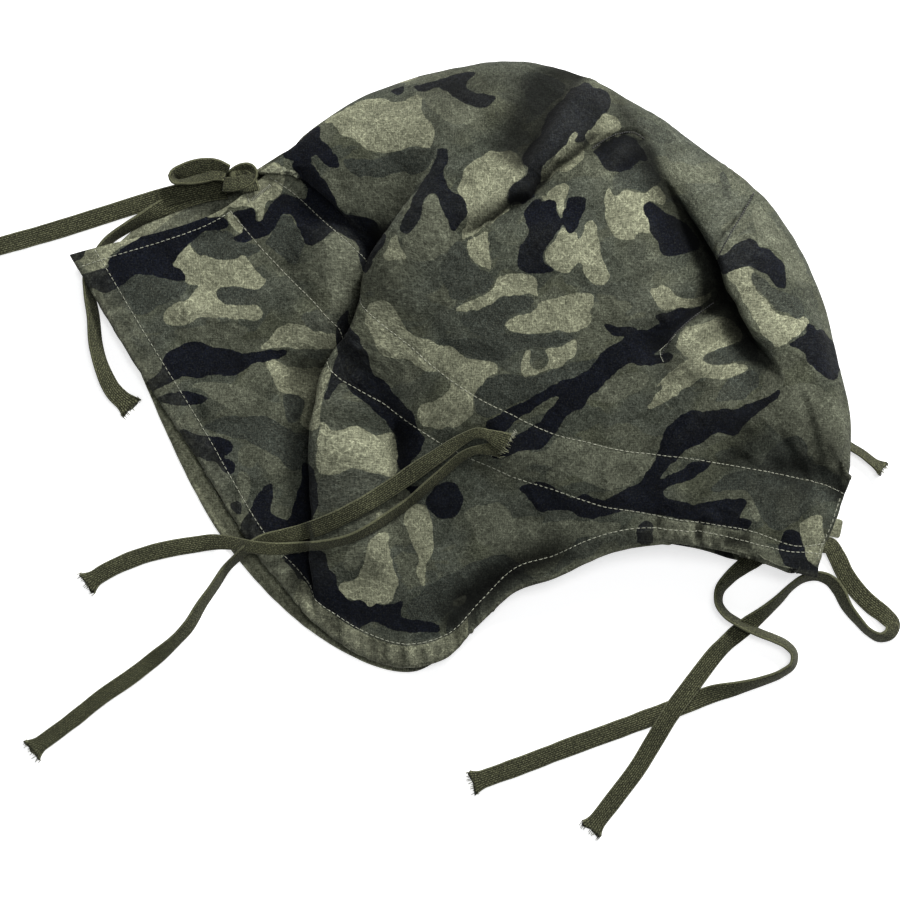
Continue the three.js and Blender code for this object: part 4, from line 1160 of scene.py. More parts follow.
# one row for each stretch of gathers, in mm: the line that it follows, the girth where it starts and ends,
# its middle across from the line and half width, height, wave length, and how much painted shade lies in its
# valleys
gathers = [
    ["lower", 32, 82, 5.0, 8.0, 2.2, 5.6, 0.85],  # below the casing at the brow
    ["lower", 0, 110, -12.0, 15.0, 0.9, 8.0, 0.2],  # the casing at the brow
    ["upper", 0, 90, -8.0, 12.0, 0.8, 9.0, 0.15],  # above it
    ["hem", 150, 330, -5.5, 9.0, 1.3, 4.4, 0.25],  # round the ear
    ["hem", 330, 560, -5.0, 8.0, 1.0, 4.6, 0.25],  # along the cape
    ["lower", 110, 560, -12.0, 14.0, 0.35, 10.0, 0.05],  # the rest of the casing
]
nearLook = {
    # height and size of each layer of crumple, in mm, and its seed
    "crumple": [(0.9, 26.0, 71), (0.55, 11.0, 72), (0.22, 4.5, 73)],
    "casingRise": 0.9,
    "stitchDip": 0.28,
    "stitchWidth": 0.9,
    "hemWall": 1.6,  # how many times hemExtra the hem's wall is thicker
    "printSlack": 12.0,  # mm down the rim over which the print leaves the chart for the length of the cloth
    "mostWear": 0.95,
    "innerWear": 0.7,
    "mostShade": 0.92,
}


def hemStep(toHem, outside, inside):
    # 1 in the hem, 0 in the cloth, from outside mm past the hem's width to inside mm short of it
    return smoothStep(cloth["hemWidth"] + outside, cloth["hemWidth"] - inside, toHem)


def nearRelief(flat, run, along, across):
    # the crumple, gathers, casing, stitches and hem, in mm, and the painted shade in the valleys of the
    # gathers
    x = flat[..., 0]
    y = flat[..., 1]
    lift = sum(height * softNoise(x, y, size, seed) for height, size, seed in nearLook["crumple"])
    # a few sharper wrinkles: ridges where a second noise passes through 0
    bent = x * 0.8 + y * 0.6 + 3 * softNoise(x, y, 18.0, 75)
    wrinkles = 0.45 * ridge(softNoise(bent, y * 0.8 - x * 0.5, 12.0, 76), 0.16)
    lift = lift + wrinkles * smoothStep(-0.3, 0.5, softNoise(x, y, 30.0, 77))
    lift = lift * smoothStep(0.0, 14.0, run)
    valleys = np.zeros(lift.shape)
    for number, (line, start, end, centre, half, height, length, dark) in enumerate(gathers):
        places = along[line][:, None]
        window = smoothStep(start - 8, start + 8, places) * smoothStep(end + 8, end - 8, places)
        window = window * hump((across[line] - centre) / half)
        waves = softNoise(places + 0.25 * across[line], 0.12 * across[line] + 300, length * 0.62, 80 + number)
        lift = lift + height * window * waves
        # painted shade, darkest where the waves of the gathers are lowest
        valleys = np.maximum(valleys, dark * window * smoothStep(0.05, -0.35, waves))
    # the stitches draw the cloth in, the casing stands proud between them, the hem is double
    casing = np.clip(across["upper"] / np.maximum(across["upper"] - across["lower"], 1e-6), 0, 1)
    lift = lift + nearLook["casingRise"] * 4 * casing * (1 - casing) * smoothStep(1, 10, run)
    wide = nearLook["stitchWidth"]
    stitched = ridge(across["upper"], wide) + ridge(across["lower"], wide)
    hemLine = ridge(-across["hem"] - cloth["hemWidth"], wide)
    lift = lift - nearLook["stitchDip"] * (stitched + hemLine)
    lift = lift + cloth["hemExtra"] * hemStep(-across["hem"], 1.2, 0.6)
    return lift * smoothStep(-1, 7, run), valleys, stitched


def makeNearPanel():
    ends = np.cumsum([0] + cloth["nearStrips"])
    crown, upper, lower = ends[3], ends[4], ends[5]
    base = netSurface(nearNet(nearSections), cloth["rows"], cloth["nearKnots"], cloth["nearStrips"])
    flat, run = clothPlace(base, crown)
    toHem = run[:, -1:] - run
    columns = {"upper": upper, "lower": lower, "hem": -1}
    along = {name: runLengths(base[:, column]) for name, column in columns.items()}
    across = {"upper": run - run[:, upper:upper + 1], "lower": run - run[:, lower:lower + 1], "hem": -toHem}
    lift, valleys, stitched = nearRelief(flat, run, along, across)
    grid = foldCloth(base, run)
    grid = grid + gridNormals(grid, 1) * lift[..., None]
    normals = gridNormals(grid, 1)
    thickness = cloth["thickness"] + cloth["hemExtra"] * nearLook["hemWall"] * hemStep(toHem, 1, 1)
    shell = closedCloth(grid, normals, thickness)
    # on the rim that is seen the print lies as charted; farther down it follows the length of the cloth
    beyond = flat - base[..., :2]
    length = np.linalg.norm(beyond, axis=2)
    printed = seenPlaces(grid[..., :2], grid[..., 2])
    printed = printed + beyond * (length / (length + nearLook["printSlack"]))[..., None]
    attributes = printAttributes(printed)
    # the ear's turned hem is khaki and pale, and so is the strip below the brow's casing
    hem = smoothStep(10.5, 8.0, toHem)
    ear = smoothStep(130, 200, along["hem"])[:, None]
    lowEar = (smoothStep(158, 182, along["hem"]) * smoothStep(262, 236, along["hem"]))[:, None]
    laidKhaki(attributes, np.clip(np.minimum(9.0 - toHem, 8 * lowEar - 2), -3, 3), ("printNavy", "printDark"))
    ribs = softNoise(along["hem"][:, None] + 0.3 * toHem, 0.1 * toHem + 500, 2.2, 95)
    brow = smoothStep(28, 36, along["lower"]) * smoothStep(86, 76, along["lower"])
    edge = 0.75 * smoothStep(2.6, 0.0, toHem) + 0.175 * smoothStep(11, 8, toHem)
    edge = edge + hem * (0.3 * ear + 0.45 * lowEar) + hem * ear * 0.3 * ribs
    edge = edge + 0.6 * smoothStep(0.0, 1.0, across["lower"]) * brow[:, None]
    # raised cloth is rubbed paler, and sunken cloth is painted darker as shade
    stand = grid[..., 2] - blurred(grid[..., 2], 9, 9)
    broad = grid[..., 2] - blurred(grid[..., 2], 22, 20)
    rubbed = 0.16 * smoothStep(0.2, 1.8, stand) + 0.10 * smoothStep(0.5, 5.0, broad)
    wear = edge + 0.35 * smoothStep(2.5, 0.0, run) + 0.18 * stitched + rubbed
    attributes["wear"] = spread(np.clip(wear, 0, nearLook["mostWear"]))
    attributes["wear"][shell[2]] = nearLook["innerWear"]
    # seamShade: painted shade in sunken cloth, in the folds and in the valleys of the gathers, and a dark
    # line 1.6 mm in from the seam
    sunken = 0.30 * smoothStep(-0.4, -3.0, stand) + 0.25 * smoothStep(-1.5, -10.0, broad)
    shade = np.maximum(0.6 * ridge(run - 1.6, 0.6), sunken)
    shade = 1 - (1 - shade) * (1 - foldShade(base)) * (1 - valleys)
    attributes["seamShade"] = spread(np.clip(shade, 0, nearLook["mostShade"]))
    piece = makePanel("panel_near_cloth", "panel_near", shell, attributes, flat)
    return piece, grid, normals, {"upper": upper, "lower": lower, "toHem": toHem}


farLook = {
    "hemWall": 1.8,  # as above
    "overTie": (156.0, -28.0),  # where the front edge rides over the tie that runs out under it
    "overReach": 13.0,
    "overRise": 1.6,
    "printFlip": 28.0,  # mm, twice the x of the line about which the near panel's print is mirrored
    "printShift": 24.0,  # mm along y, after that
    "innerWear": 0.05,
}


def makeFarPanel():
    base = netSurface(farNet(farSections), cloth["farRows"], cloth["farKnots"], cloth["farStrips"])
    base[..., 2] = np.maximum(base[..., 2], 0.0)
    flat, run = clothPlace(base, sum(cloth["farStrips"][:2]))
    toHem = run[:, -1:] - run
    thickness = cloth["thickness"] + cloth["hemExtra"] * farLook["hemWall"] * hemStep(toHem, 1, 1)
    # the hem lies in low waves
    waves = smoothStep(20, 4, toHem) * (0.55 + 0.55 * softNoise(flat[..., 0], flat[..., 1], 7.0, 91))
    inward = smoothStep(2, 12, run)
    base[..., 2] += inward * (0.12 + waves * 0.9)
    beside = base[..., :2] - farLook["overTie"]
    over = hump(np.hypot(beside[..., 0], beside[..., 1]) / farLook["overReach"])
    base[..., 2] += farLook["overRise"] * over * inward
    normals = gridNormals(base, -1)
    lifted = base - normals * thickness[..., None]
    girth = runLengths(base[:, -1])[:, None]
    puckers = 0.35 * smoothStep(16, 9, toHem) * smoothStep(0.0, 2.0, toHem)
    puckers = puckers * softNoise(girth + 0 * toHem, toHem * 0.15, 3.0, 93)
    shell = closedCloth(lifted - normals * puckers[..., None], -normals, thickness)
    mirrored = np.stack([farLook["printFlip"] - flat[..., 0], flat[..., 1] + farLook["printShift"]], axis=-1)
    attributes = printAttributes(mirrored)
    # the facing of the vent is a pale patch of the print, and bare beside the cape
    toVent = girth[-1] - girth + 0 * toHem
    facing = np.clip(np.maximum(9 - toVent, np.where(toVent < 230, 15 - toHem, -3)), -3, 3)
    laidKhaki(attributes, facing, ("printNavy",))
    bare = smoothStep(66, 90, toVent) * smoothStep(152, 130, toVent) * smoothStep(18, 14, toHem)
    wear = (0.62 - 0.42 * smoothStep(230, 200, toVent) * smoothStep(16, 13, toHem)) * (1 - bare)
    attributes["wear"] = spread(wear)
    attributes["wear"][shell[2]] = farLook["innerWear"]
    # seamShade here: two dark lines along the edge of the hem, and painted shade in the furrows between its
    # ribs
    edges = ridge(toHem - 0.5, 0.5) + ridge(toHem - 2.4, 0.4)
    ribs = softNoise(girth - 0.5 * toHem, toHem * 0.1, 1.9, 94)
    furrows = smoothStep(0.0, 0.9, ribs) * smoothStep(14, 9, toHem) * smoothStep(1.5, 4.0, toHem)
    attributes["seamShade"] = spread(0.45 * edges + 0.38 * furrows * (1 - 0.6 * bare))
    return makePanel("panel_far_cloth", "panel_far", shell, attributes, mirrored), lifted, normals, toHem


nearPiece, nearGrid, nearNormals, nearLines = makeNearPanel()
farPiece, farGrid, farNormals, farToHem = makeFarPanel()
print("panels ready")


clothTree = BVHTree.FromPolygons(
    np.concatenate([nearGrid.reshape(-1, 3), farGrid.reshape(-1, 3)]).tolist(),
    np.concatenate([
        gridQuads(*nearGrid.shape[:2])[:, [0, 3, 2, 1]],
        gridQuads(*farGrid.shape[:2], nearGrid.shape[0] * nearGrid.shape[1])[:, [0, 3, 2, 1]],
    ]).tolist(),
)


def clothHeight(places):
    # height of the cloth seen from above at each place, 0 where there is none
    hits = [clothTree.ray_cast((x, y, 200.0), (0.0, 0.0, -1.0))[0] for x, y in places]
    return np.array([hit[2] if hit else 0.0 for hit in hits])


# ties: flat woven tapes that lie where their solids lie

tape = {
    "width": 7.8,
    "thickness": 1.5,
    "step": 0.9,  # mm between rings
    "sides": 24,
    "flareLength": 5.0,  # mm of the sewn end that spreads
    "flareWidth": 11.0,
    "fray": 2.6,  # mm
    "sway": 5.0,  # degrees by which the roll wanders
    "floorGap": 0.15,
    "clothGap": 0.3,
    "clothReach": 6.0,  # mm under the top of the cloth from where a tape is lifted onto it
    "smoothing": 11,  # rings over which a lift is evened out
}

# route in mm; roll in degrees at even places along the route, 0 flat and 90 on its edge; a cord leaves at the
# start of its route unless exit says where, and replaces the solid of its own name unless replaces says more
ties = {
    "tie_ear_upper": {
        "route": [
            [18.8, -32.9, 41.4], [14.6, -31.1, 41.9], [10.4, -29.2, 41.8], [6.2, -28.6, 41.0],
            [0.2, -31.2, 38.6], [-9.2, -37.6, 34.6], [-17.6, -43.2, 31], [-26, -49.0, 28],
            [-34.4, -54.6, 26.4], [-42.8, -59.6, 24.6], [-51.2, -64.0, 20], [-59.6, -67.7, 16.4],
            [-68, -70.4, 13], [-76.4, -72.0, 11.2], [-84, -73.5, 10.8], [-89.9, -76.9, 11],
            [-94.9, -81.1, 7.2], [-100, -86.1, 2.8], [-105, -93.7, 1], [-110, -100.8, 1],
            [-115.9, -110.5, 1], [-123.5, -118.4, 1], [-131, -124.7, 1], [-140.3, -131.9, 1],
            [-152, -139.9, 1], [-164.6, -149.9, 1], [-182.3, -163, 1],
        ],
        "roll": [10, 0, -12, 0, 8, 20, 10, 0, 35, 60, 62, 52, 40, 0, 0, 0, 0, 0],
        "widths": [
            [0, 9.0], [4, 7.4], [9, 4.4], [16, 4.4], [30, 6.2], [48, 7.4], [96, 7.4], [116, 5.6],
            [128, 5.4], [150, 6.8],
        ],
        "frayedStart": True,
        "exit": (16.8, -31.9, 41.6),
    },
    "tie_ear_lower": {
        "route": [
            [16, -35.7, 39.6], [10.9, -35.3, 39.3], [5.9, -35.7, 38.2], [0.8, -37.8, 36],
            [-5.9, -43.3, 32.4], [-13.4, -50, 28.6], [-21, -56.7, 25], [-29.4, -62.6, 24.2],
            [-38.6, -68.5, 25.4], [-47, -72.7, 20.4], [-55.4, -74.8, 16.4], [-68, -76.4, 13],
            [-78.5, -77.3, 14.6], [-84, -77, 15], [-89, -76.4, 14], [-94.1, -75.6, 9.4], [-100, -74.8, 5.8],
            [-106.7, -74.8, 2.2], [-112.1, -75.6, 1], [-122.6, -77.3, 1], [-133.1, -79.8, 1],
            [-143.6, -83.6, 1], [-152, -87.8, 1], [-158.8, -92.4, 1],
        ],
        "roll": [12, 20, 40, 50, 50, 55, 50, 15, 0, 0, 0, 0, 0],
        "widths": [
            [0, 6.5], [4, 5.2], [10, 3.8], [20, 4.2], [40, 5.8], [60, 6.0], [104, 6.0], [122, 5.4],
            [132, 5.6], [150, 7.2],
        ],
        "frayedStart": True,
    },
    "tie_front_upper": {
        "route": [
            [152, -75.6, 3], [155.8, -76.2, 2.8], [158.8, -80.6, 2], [162.5, -88.2, 1.2], [167.6, -95.3, 1],
            [173.9, -101.6, 1], [179.3, -105.8, 1], [182.7, -110, 1], [181.4, -113.4, 1],
            [177.2, -115.1, 1], [172.6, -113, 1], [167.6, -107.9, 1], [163, -102.1, 1], [159.6, -95.3, 1],
            [156.2, -91.1, 1], [151.2, -89, 1], [144.1, -90.3, 1], [139.9, -93.2, 1], [133.6, -99.5, 1],
            [127.3, -105, 1], [121, -110, 1], [114.7, -115, 1.2], [108.4, -121, 1.8], [102.1, -128.9, 2.6],
            [95.8, -137.3, 3.6], [89.5, -145.7, 3.8], [85, -153, 3.2], [81.1, -159.6, 2], [74.8, -170.1, 1],
            [66.4, -181.4, 1], [54.6, -196.6, 1],
        ],
        "roll": [20, 10, 0, 0, 30, 66, 62, 58, 60, 64, 50, 20, 25, 10, 0, 0, 0, 0, 0, 0, 0],
    },
    "tie_front_lower": {
        "route": [
            [131.9, -72.7, 2.7], [126, -80.2, 2.9], [118.9, -85.3, 2.6], [113.4, -89.9, 1],
            [109.2, -95.3, 1], [108.8, -100.4, 1.4], [111.7, -105, 2.6], [117.2, -108.8, 3.4],
            [121.8, -111.3, 3.5], [126.8, -113.4, 2.8], [132.3, -115.5, 1.5], [137.3, -118, 1],
            [140.7, -121.8, 1], [140.3, -126.4, 1], [135.7, -130.2, 1], [127.3, -133.6, 1],
            [116.8, -136.5, 1], [106.3, -139, 1], [97.9, -142.4, 1], [83.2, -147.8, 1], [66.4, -154.1, 1],
            [45.4, -161.7, 1], [24.4, -169.7, 1], [4.6, -176.8, 1],
        ],
        "roll": [0, 15, 40, 62, 66, 68, 66, 60, 55, 30, 0, 0, 0, 0, 0, 0, 0, 0, 0],
    },
    "tie_ear_far": {
        "route": [
            [152, -24.5, 1.4], [157, -28.5, 1.1], [162.4, -32.6, 1], [165, -34.4, 1], [169.3, -37, 1],
            [174.7, -41.2, 1], [178.1, -43.6, 1],
        ],
        "roll": [50, 50, 55, 50, 40],
        "width": 5.2,
        "flare": 8.0,
    },
    "tie_back_long": {
        "route": [
            [-88.6, 73, 13.2], [-89, 75, 13.2], [-90, 77.2, 12.4], [-91.8, 78.8, 10.6], [-93.6, 79, 9],
            [-96, 78.6, 7.6], [-99.8, 78.2, 5.4], [-105, 76.6, 4.6], [-112.1, 75.0, 3.9],
            [-122.6, 72.4, 3.3], [-135.2, 69.0, 2.2], [-152, 63.8, 1], [-173, 57.2, 1], [-199.9, 49.6, 1],
        ],
        "roll": [20, 20, 15, 5, 0, 0, 0, 0, 0],
        "flareFar": False,
        "exit": (-87.2, 71.0, 15.0),
        "replaces": ["tie_back_long", "back_lead"],
    },
    "back_loop": {
        "route": [
            [-98.6, 81.8, 9], [-103.7, 84.0, 8.4], [-110.9, 84.3, 7.4], [-117.6, 82.3, 7],
            [-122.0, 79.6, 6.8], [-121.4, 78.2, 6.8], [-117, 78.0, 6.8], [-110, 79.4, 7.2],
            [-104, 80.9, 8.7], [-99.8, 80.6, 9.3],
        ],
        "roll": [45, 34, 34, 40, 70, 52, 40, 38],
        "width": 7.4,
        "flareFar": False,
        "farEnd": "object",
    },
    "back_knot_turn": {
        "route": [
            [-100.5, 76.4, 9.6], [-96.4, 76.4, 11.8], [-92.4, 77.2, 12.8], [-89.4, 78.8, 13.0],
            [-88.2, 81.0, 12.6], [-89.4, 82.8, 12.0], [-91.8, 83.0, 11.2], [-94.4, 81.8, 10.2],
            [-96.5, 80.0, 9.0],
        ],
        "roll": [12, 14, 20, 30, 42, 40, 30, 20],
        "width": 6.4,
        "flareFar": False,
        "onCloth": False,
        "cord": False,  # a part of the knot
    },
    "tie_back_short": {
        "route": [
            [-99.4, 74.4, 3.4], [-105, 73.8, 2.6], [-112.1, 72.2, 1.9], [-120.5, 69.6, 1.5],
            [-131, 64.6, 1.9], [-141.5, 58.6, 2.2], [-150.4, 52.2, 2.0], [-155.4, 45.0, 1.8],
            [-158.3, 38, 1.6], [-157.9, 31.5, 1.2], [-156.2, 21, 1], [-155, 8.4, 1], [-152, -2.1, 1],
            [-147.8, -10.5, 1], [-140.3, -17.6, 1],
        ],
        "roll": [5, 0, 10, 50, 64, 66, 60, 50, 45, 40, 20, 0],
        "onCloth": False,
        "exit": (-99.4, 71.6, 4.2),
    },
}


def tapeSection():
    # a flattened superellipse, 1 wide: |x/a|^6 + |z/b|^2.6 = 1, walked by angle; face is x/a
    angle = np.linspace(0, 2 * math.pi, tape["sides"], endpoint=False)
    face = rounded(np.cos(angle), 1 / 3)
    return face / 2, rounded(np.sin(angle), 2 / 2.6) * tape["thickness"] / 2, face


def liftedCentre(path, reach, onCloth):
    # a rolled stretch stands higher, so its centre is lifted clear of the floor and of the cloth below
    lifted = np.maximum(path[:, 2], reach + tape["floorGap"])
    if onCloth:
        under = clothHeight(path[:, :2])
        onTop = under + reach * 0.8 + tape["clothGap"]
        lifted = np.maximum(lifted, np.where(path[:, 2] > under - tape["clothReach"], onTop, 0.0))
    kernel = np.hanning(tape["smoothing"])
    padded = np.pad(lifted, tape["smoothing"] // 2, mode="edge")
    return np.maximum(lifted, np.convolve(padded, kernel / kernel.sum(), mode="valid"))


def makeTape(name, tie, seed):
    # P(s, a) = centre(s) + across(a) side(s) + up(a) top(s), with side level and rolled about the route
    path = smoothPath(tie["route"], tape["step"])
    run = runLengths(path)
    total = run[-1]
    still = run * 0
    rollKnots = np.linspace(0, total, len(tie["roll"]))
    roll = np.radians(hermiteMatrix(rollKnots, run) @ np.array(tie["roll"], float))
    roll = roll + np.radians(tape["sway"]) * softNoise(run, still + seed, 17.0, seed)
    widths = np.array(tie.get("widths", [[0.0, tie.get("width", tape["width"])]]))
    width = np.interp(run, widths[:, 0], widths[:, 1])
    width *= 1 + 0.03 * softNoise(run, still, 6.0, seed + 1)
    flares = tie.get("flareFar", True)
    flareAt = np.clip((run - (total - tape["flareLength"])) / tape["flareLength"], 0, 1) * flares
    width = width * (1 + flareAt**1.6 * (tie.get("flare", tape["flareWidth"]) / width - 1))
    tangent = unit(np.gradient(path, axis=0))
    level = unit(np.cross(tangent, [0.0, 0.0, 1.0]))
    top = np.cross(level, tangent)
    side = level * np.cos(roll)[:, None] + top * np.sin(roll)[:, None]
    up = np.cross(side, tangent)
    reach = np.abs(side[:, 2]) * width / 2 + np.abs(up[:, 2]) * tape["thickness"] / 2
    path[:, 2] = liftedCentre(path, reach, tie.get("onCloth", True))
    across, rise, face = tapeSection()

    def along(direction, amount):
        return direction[:, None, :] * amount[:, :, None]

    cup = 0.10 * width[:, None] * (np.abs(face) ** 2 - 0.4) * softNoise(run, still, 24.0, seed + 2)[:, None]
    ring = path[:, None, :] + along(side, across * width[:, None]) + along(up, rise + cup * 0.5)
    # the sewn end spreads, rolls back and frays into a few bundles
    frayed = softNoise(face * 9.0 + still[:, None], rise + still[:, None], 1.0, seed + 3)
    ring = ring + along(tangent, 0.5 * frayed * tape["fray"] * flareAt[:, None] ** 3)
    ring = ring + along(up, rise * 0.9 * flareAt[:, None] ** 2)
    ring[:, :, 2] = np.maximum(ring[:, :, 2], 0.05)
    points = np.concatenate([ring.reshape(-1, 3), path[:1], path[-1:]])
    length = runLengths(path)[-1]
    uv = np.stack([np.repeat(run, tape["sides"]) * mm, np.tile(face, len(path))], axis=1)
    uv = np.concatenate([uv, [[0.0, 0.0], [length * mm, 0.0]]])
    faces = ringFaces(len(path), tape["sides"])
    piece = makeObject(name + "_woven", points, faces, tapeMaterial, uv=uv)
    if tie.get("cord", True):
        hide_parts(*tie.get("replaces", [name]))
    cutEnds = [(path[-1], tangent[-1], side[-1], up[-1], width[-1])] if flares else []
    if tie.get("frayedStart"):
        cutEnds.append((path[0], -tangent[0], side[0], up[0], width[0]))
    return piece, path, length, cutEnds


tiePieces = {name: makeTape(name, tie, 40 + 7 * number) for number, (name, tie) in enumerate(ties.items())}
print("ties ready")


knot = {
    "at": (-93.6, 79.8, 8.0),
    "length": 9.5,
    "width": 9.6,
    "height": 7.4,
    "turn": 0.25,
    "rows": 64,
    "columns": 48,
}


def makeKnot():
    # a tape wrapped round the others: a rounded block whose ends are drawn in, with two turns side by side
    v = np.sin(np.linspace(math.pi / 2, -math.pi / 2, knot["rows"] + 2))[:, None]
    angle = np.linspace(0, 2 * math.pi, knot["columns"], endpoint=False)[None, :]
    girth = (1 - np.abs(v) ** 5) ** 0.5 * (1 - 0.10 * ridge(v - 0.15, 0.09))
    x = v * knot["length"] / 2 + 0 * angle + 0.9 * np.cos(angle) * (1 - v * v)
    y = rounded(np.cos(angle), 0.75) * girth * knot["width"] / 2
    z = rounded(np.sin(angle), 0.7) * girth * knot["height"] / 2
    points = polar(np.stack([*turnedBy(x, y, knot["turn"]), z], axis=-1) + knot["at"])
    uv = polar(np.stack([angle * 5 * mm + 0 * v, v * 2.4 + 0 * angle], axis=-1))
    faces = ringFaces(knot["rows"], knot["columns"])
    piece = makeObject("back_knot_wrap", points, faces, tapeMaterial, uv=uv)
    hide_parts("back_knot")
    return piece


knotPiece = makeKnot()


# threads: short lengths laid on the cloth, as stitches, seams, tails and fringes

stitch = {
    "length": 1.75,
    "gap": 0.6,
    "radius": 0.19,
    "shift": 0.12,  # mm by which a stitch may lie before or behind its place
    "taper": [0.6, 1.0, 1.0, 0.6],  # share of the radius at each ring
    "sides": 5,
}


def makeThreads(name, starts, ends, normals, radius, material=paleThread):
    # each thread bows up: centre(t) = start + t (end - start) + normal radius (1.6 sin(pi t) - 0.1)
    rings = len(stitch["taper"])
    sides = stitch["sides"]
    t = np.linspace(0, 1, rings)[None, :, None]
    centre = starts[:, None, :] + (ends - starts)[:, None, :] * t
    centre = centre + normals[:, None, :] * radius * (1.6 * np.sin(math.pi * t) - 0.1)
    along = unit(ends - starts)[:, None, :]
    side = unit(np.cross(along, normals[:, None, :]))
    up = np.cross(side, along)
    angle = np.linspace(0, 2 * math.pi, sides, endpoint=False)[:, None]
    ring = side[:, :, None, :] * np.cos(angle) + up[:, :, None, :] * np.sin(angle)
    girth = radius * np.array(stitch["taper"])[None, :, None, None]
    points = (centre[:, :, None, :] + ring * girth).reshape(-1, 3)
    each = rings * sides
    caps = np.stack([np.arange(sides), each - 1 - np.arange(sides)])
    offsets = (np.arange(len(starts)) * each)[:, None, None]
    faces = [(ringFaces(rings, sides)[0] + offsets).reshape(-1, 4), (caps + offsets).reshape(-1, sides)]
    makeObject(name, points, faces, material)


def seamThreads(line, normals, seed):
    # dashes of even length along a line on the cloth
    run = runLengths(line)
    pitch = stitch["length"] + stitch["gap"]
    starts = np.arange(stitch["gap"], run[-1] - pitch, pitch)
    starts = starts + np.random.default_rng(seed).uniform(-stitch["shift"], stitch["shift"], len(starts))

    def at(places, values):
        return np.stack([np.interp(places, run, values[:, axis]) for axis in range(3)], axis=1)

    up = unit(at(starts + stitch["length"] / 2, normals))
    return at(starts, line), at(starts + stitch["length"], line), up


def hemLineOn(grid, normals, toHem):
    # the points of the hem's seam, row by row
    column = np.array([np.interp(-cloth["hemWidth"], -row, np.arange(len(row))) for row in toHem])
    low = np.floor(column).astype(int)
    part = (column - low)[:, None]
    rows = np.arange(len(grid))
    high = np.minimum(low + 1, grid.shape[1] - 1)
    return grid[rows, low] * (1 - part) + grid[rows, high] * part, normals[rows, low]


def joined(groups):
    return [np.concatenate(parts) for parts in zip(*groups)]


def sew(name, *seams):
    # one piece of stitches along a few seams, each a line, its normals and a seed
    makeThreads(name, *joined(seamThreads(*seam) for seam in seams), stitch["radius"])


def makeStitches():
    def near(rows, columns, seed):
        return nearGrid[rows, columns], nearNormals[rows, columns], seed

    upper = nearLines["upper"]
    lower = nearLines["lower"]
    everyRow = slice(None)
    sew("casing_stitches", near(everyRow, upper, 1), near(everyRow, lower, 2))
    hem = hemLineOn(nearGrid, nearNormals, nearLines["toHem"])
    sew("hem_stitches", (*hem, 3), near(-5, slice(lower, None), 5), near(2, slice(upper + 2, lower + 12), 7))
    farHem, farUp = hemLineOn(farGrid, farNormals, farToHem)
    sew("far_hem_stitches", (farHem, -farUp, 6))


# in mm; a row is from, to, count, length of each thread and its turn from the row in degrees
looseThreads = {
    "seams": [
        [[122.6, 72.2], [117.5, 63], [112, 54], [107.6, 45.5]],
        [[54.6, 90.7], [60, 94.6], [66, 97.2], [72.5, 97.6], [76.5, 95]],
        [[105.5, 26.0], [95.8, 18.9], [88.2, 11.3], [83.6, 3.8]],
    ],
    "tails": [
        [[89.9, 13], [87, 9.6], [85.4, 8.2], [82.9, 5.9]],
        [[83.2, 6.4], [83.4, 4.0], [84.7, 1.3]],
    ],
    "rows": [
        [(22.6, -27.6), (14.2, -38.2), 26, 2.0, 80],
        [(13.0, -38.2), (6.0, -34.0), 8, 1.3, 85],
        [(-88.8, 69.6), (-80.6, 76.0), 16, 1.5, 88],
        [(-91.4, 75.4), (-89.6, 68.8), 5, 2.2, 12],
    ],
    "seamRadius": 0.32,
    "radius": 0.15,
    "fringeCount": 16,  # threads at each cut end
    "fringeRadius": 0.17,
}


def threadPaths(paths, step):
    # charted paths, laid on the cloth and cut into short threads
    lines = []
    for path in paths:
        line = smoothPath(path, step)
        line = planPlaces(line, clothHeight(line))
        lines.append(np.column_stack([line, clothHeight(line)]))
    return [line[:-1] for line in lines], [line[1:] for line in lines]


def layThreads(name, starts, ends, radius, material):
    starts = np.concatenate(starts)
    level = np.tile([0.0, 0.0, 1.0], (len(starts), 1))
    makeThreads(name, starts, np.concatenate(ends), level, radius, material)


def makeLooseThreads(random):
    # dart seams, thread tails and the stitches round the buttonholes
    seams = threadPaths(looseThreads["seams"], 1.0)
    layThreads("dart_seams", *seams, looseThreads["seamRadius"], darkThread)
    starts, ends = threadPaths(looseThreads["tails"], 0.8)
    for (ax, ay), (bx, by), count, length, turn in looseThreads["rows"]:
        share = (np.arange(count) + 0.5) / count
        middle = np.column_stack([ax + (bx - ax) * share, ay + (by - ay) * share])
        angle = math.atan2(by - ay, bx - ax) + math.radians(turn) + random.uniform(-0.25, 0.25, count)
        half = (length * random.uniform(0.7, 1.1, count) / 2)[:, None]
        half = half * np.column_stack([np.cos(angle), np.sin(angle)])
        for group, places in ((starts, middle - half), (ends, middle + half)):
            group.append(np.column_stack([places, clothHeight(places) + 0.1]))
    layThreads("loose_threads", starts, ends, looseThreads["radius"], paleThread)


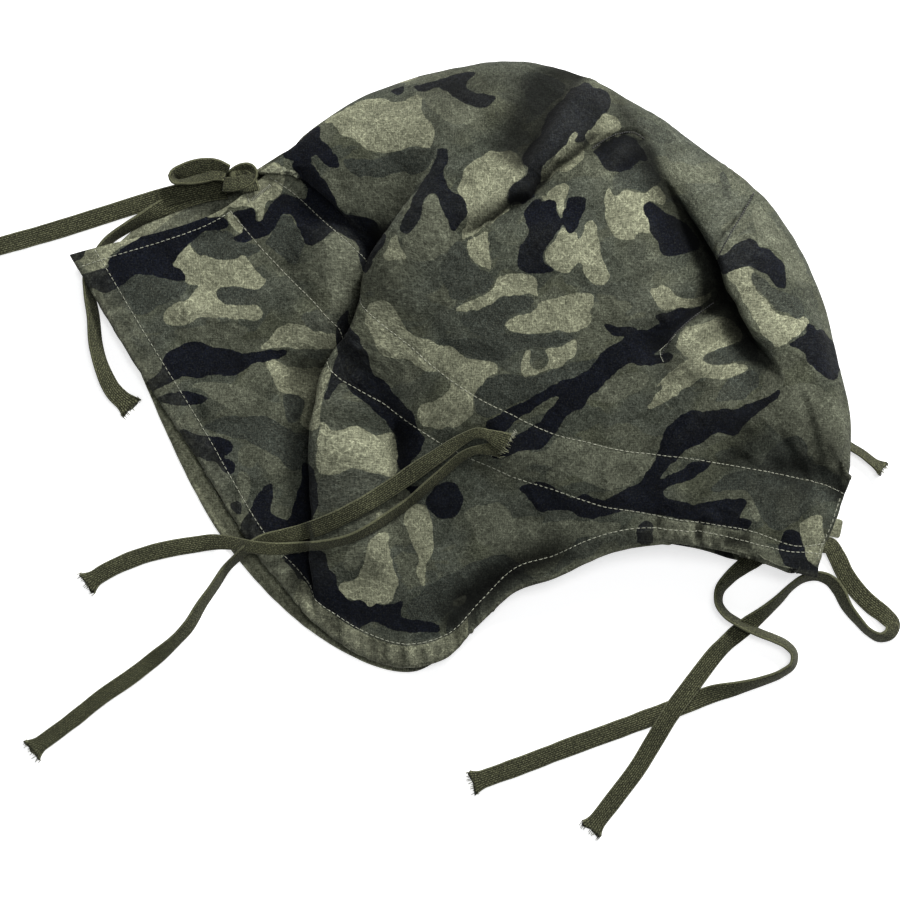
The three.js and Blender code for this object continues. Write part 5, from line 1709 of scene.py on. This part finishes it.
def makeFringes(random):
    # the frayed ends of the ties
    count = looseThreads["fringeCount"]
    fringes = []
    for _, _, _, cutEnds in tiePieces.values():
        for at, outward, side, up, width in cutEnds:
            across = np.linspace(-0.48, 0.48, count)[:, None] * width + random.uniform(-0.2, 0.2, (count, 1))
            root = at + side * across - outward * 1.2 + up * random.uniform(-0.4, 0.5, (count, 1))
            tip = root + outward * random.uniform(1.6, 3.6, (count, 1))
            tip = tip + side * random.uniform(-0.7, 0.7, (count, 1))
            root[:, 2] = np.maximum(root[:, 2], 0.3)
            tip[:, 2] = np.maximum(tip[:, 2] + random.uniform(-0.5, 0.5, count), 0.3)
            fringes.append((root, tip, np.tile(up, (count, 1))))
    makeThreads("tie_fringes", *joined(fringes), looseThreads["fringeRadius"], oliveThread)


makeStitches()
threadRandom = np.random.default_rng(12)
makeLooseThreads(threadRandom)
makeFringes(threadRandom)
print("stitches ready")


tab = {
    "at": (157.6, -68.6),
    "width": 7.0,
    "length": 8.0,
    "turn": -0.2,
    "thickness": 1.1,
    "rows": 40,
    "columns": 64,
    # one value of each attribute for the whole piece: plain khaki, half faded
    "look": {
        "printNavy": -5, "printKhaki": 5, "printDark": -5, "printOlive": -5, "wear": 0.45, "seamShade": 0,
    },
}


def makeTab():
    # a small folded loop of cloth: a flat box with round corners, from powers of cosines and sines of two
    # angles, with a waist in the middle
    v = np.linspace(math.pi / 2, -math.pi / 2, tab["rows"] + 2)[:, None]
    u = np.linspace(0, 2 * math.pi, tab["columns"], endpoint=False)[None, :]
    x = rounded(np.cos(v), 0.3) * rounded(np.cos(u), 0.3) * tab["width"] / 2
    y = rounded(np.cos(v), 0.3) * rounded(np.sin(u), 0.3) * tab["length"] / 2
    z = (rounded(np.sin(v), 0.6) + 0 * u) * tab["thickness"] / 2 * (1 - 0.25 * ridge(x, 0.8))
    z = z + (1.0 + 1.2 * smoothStep(3.0, -2.0, x))
    points = polar(np.stack([*turnedBy(x, y, tab["turn"]), z], axis=-1) + (*tab["at"], 0.0))
    attributes = {key: np.full(len(points), float(value)) for key, value in tab["look"].items()}
    faces = ringFaces(tab["rows"], tab["columns"])
    uv = points[:, :2] * mm + 0.05
    piece = makeObject("front_tab_loop", points, faces, clothMaterial, attributes, uv)
    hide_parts("front_tab")


makeTab()


# the length of each tie


for name, (piece, path, length, _) in tiePieces.items():
    tie = ties[name]
    if not tie.get("cord", True):
        continue
    print(name, "length", round(length, 1), "mm")
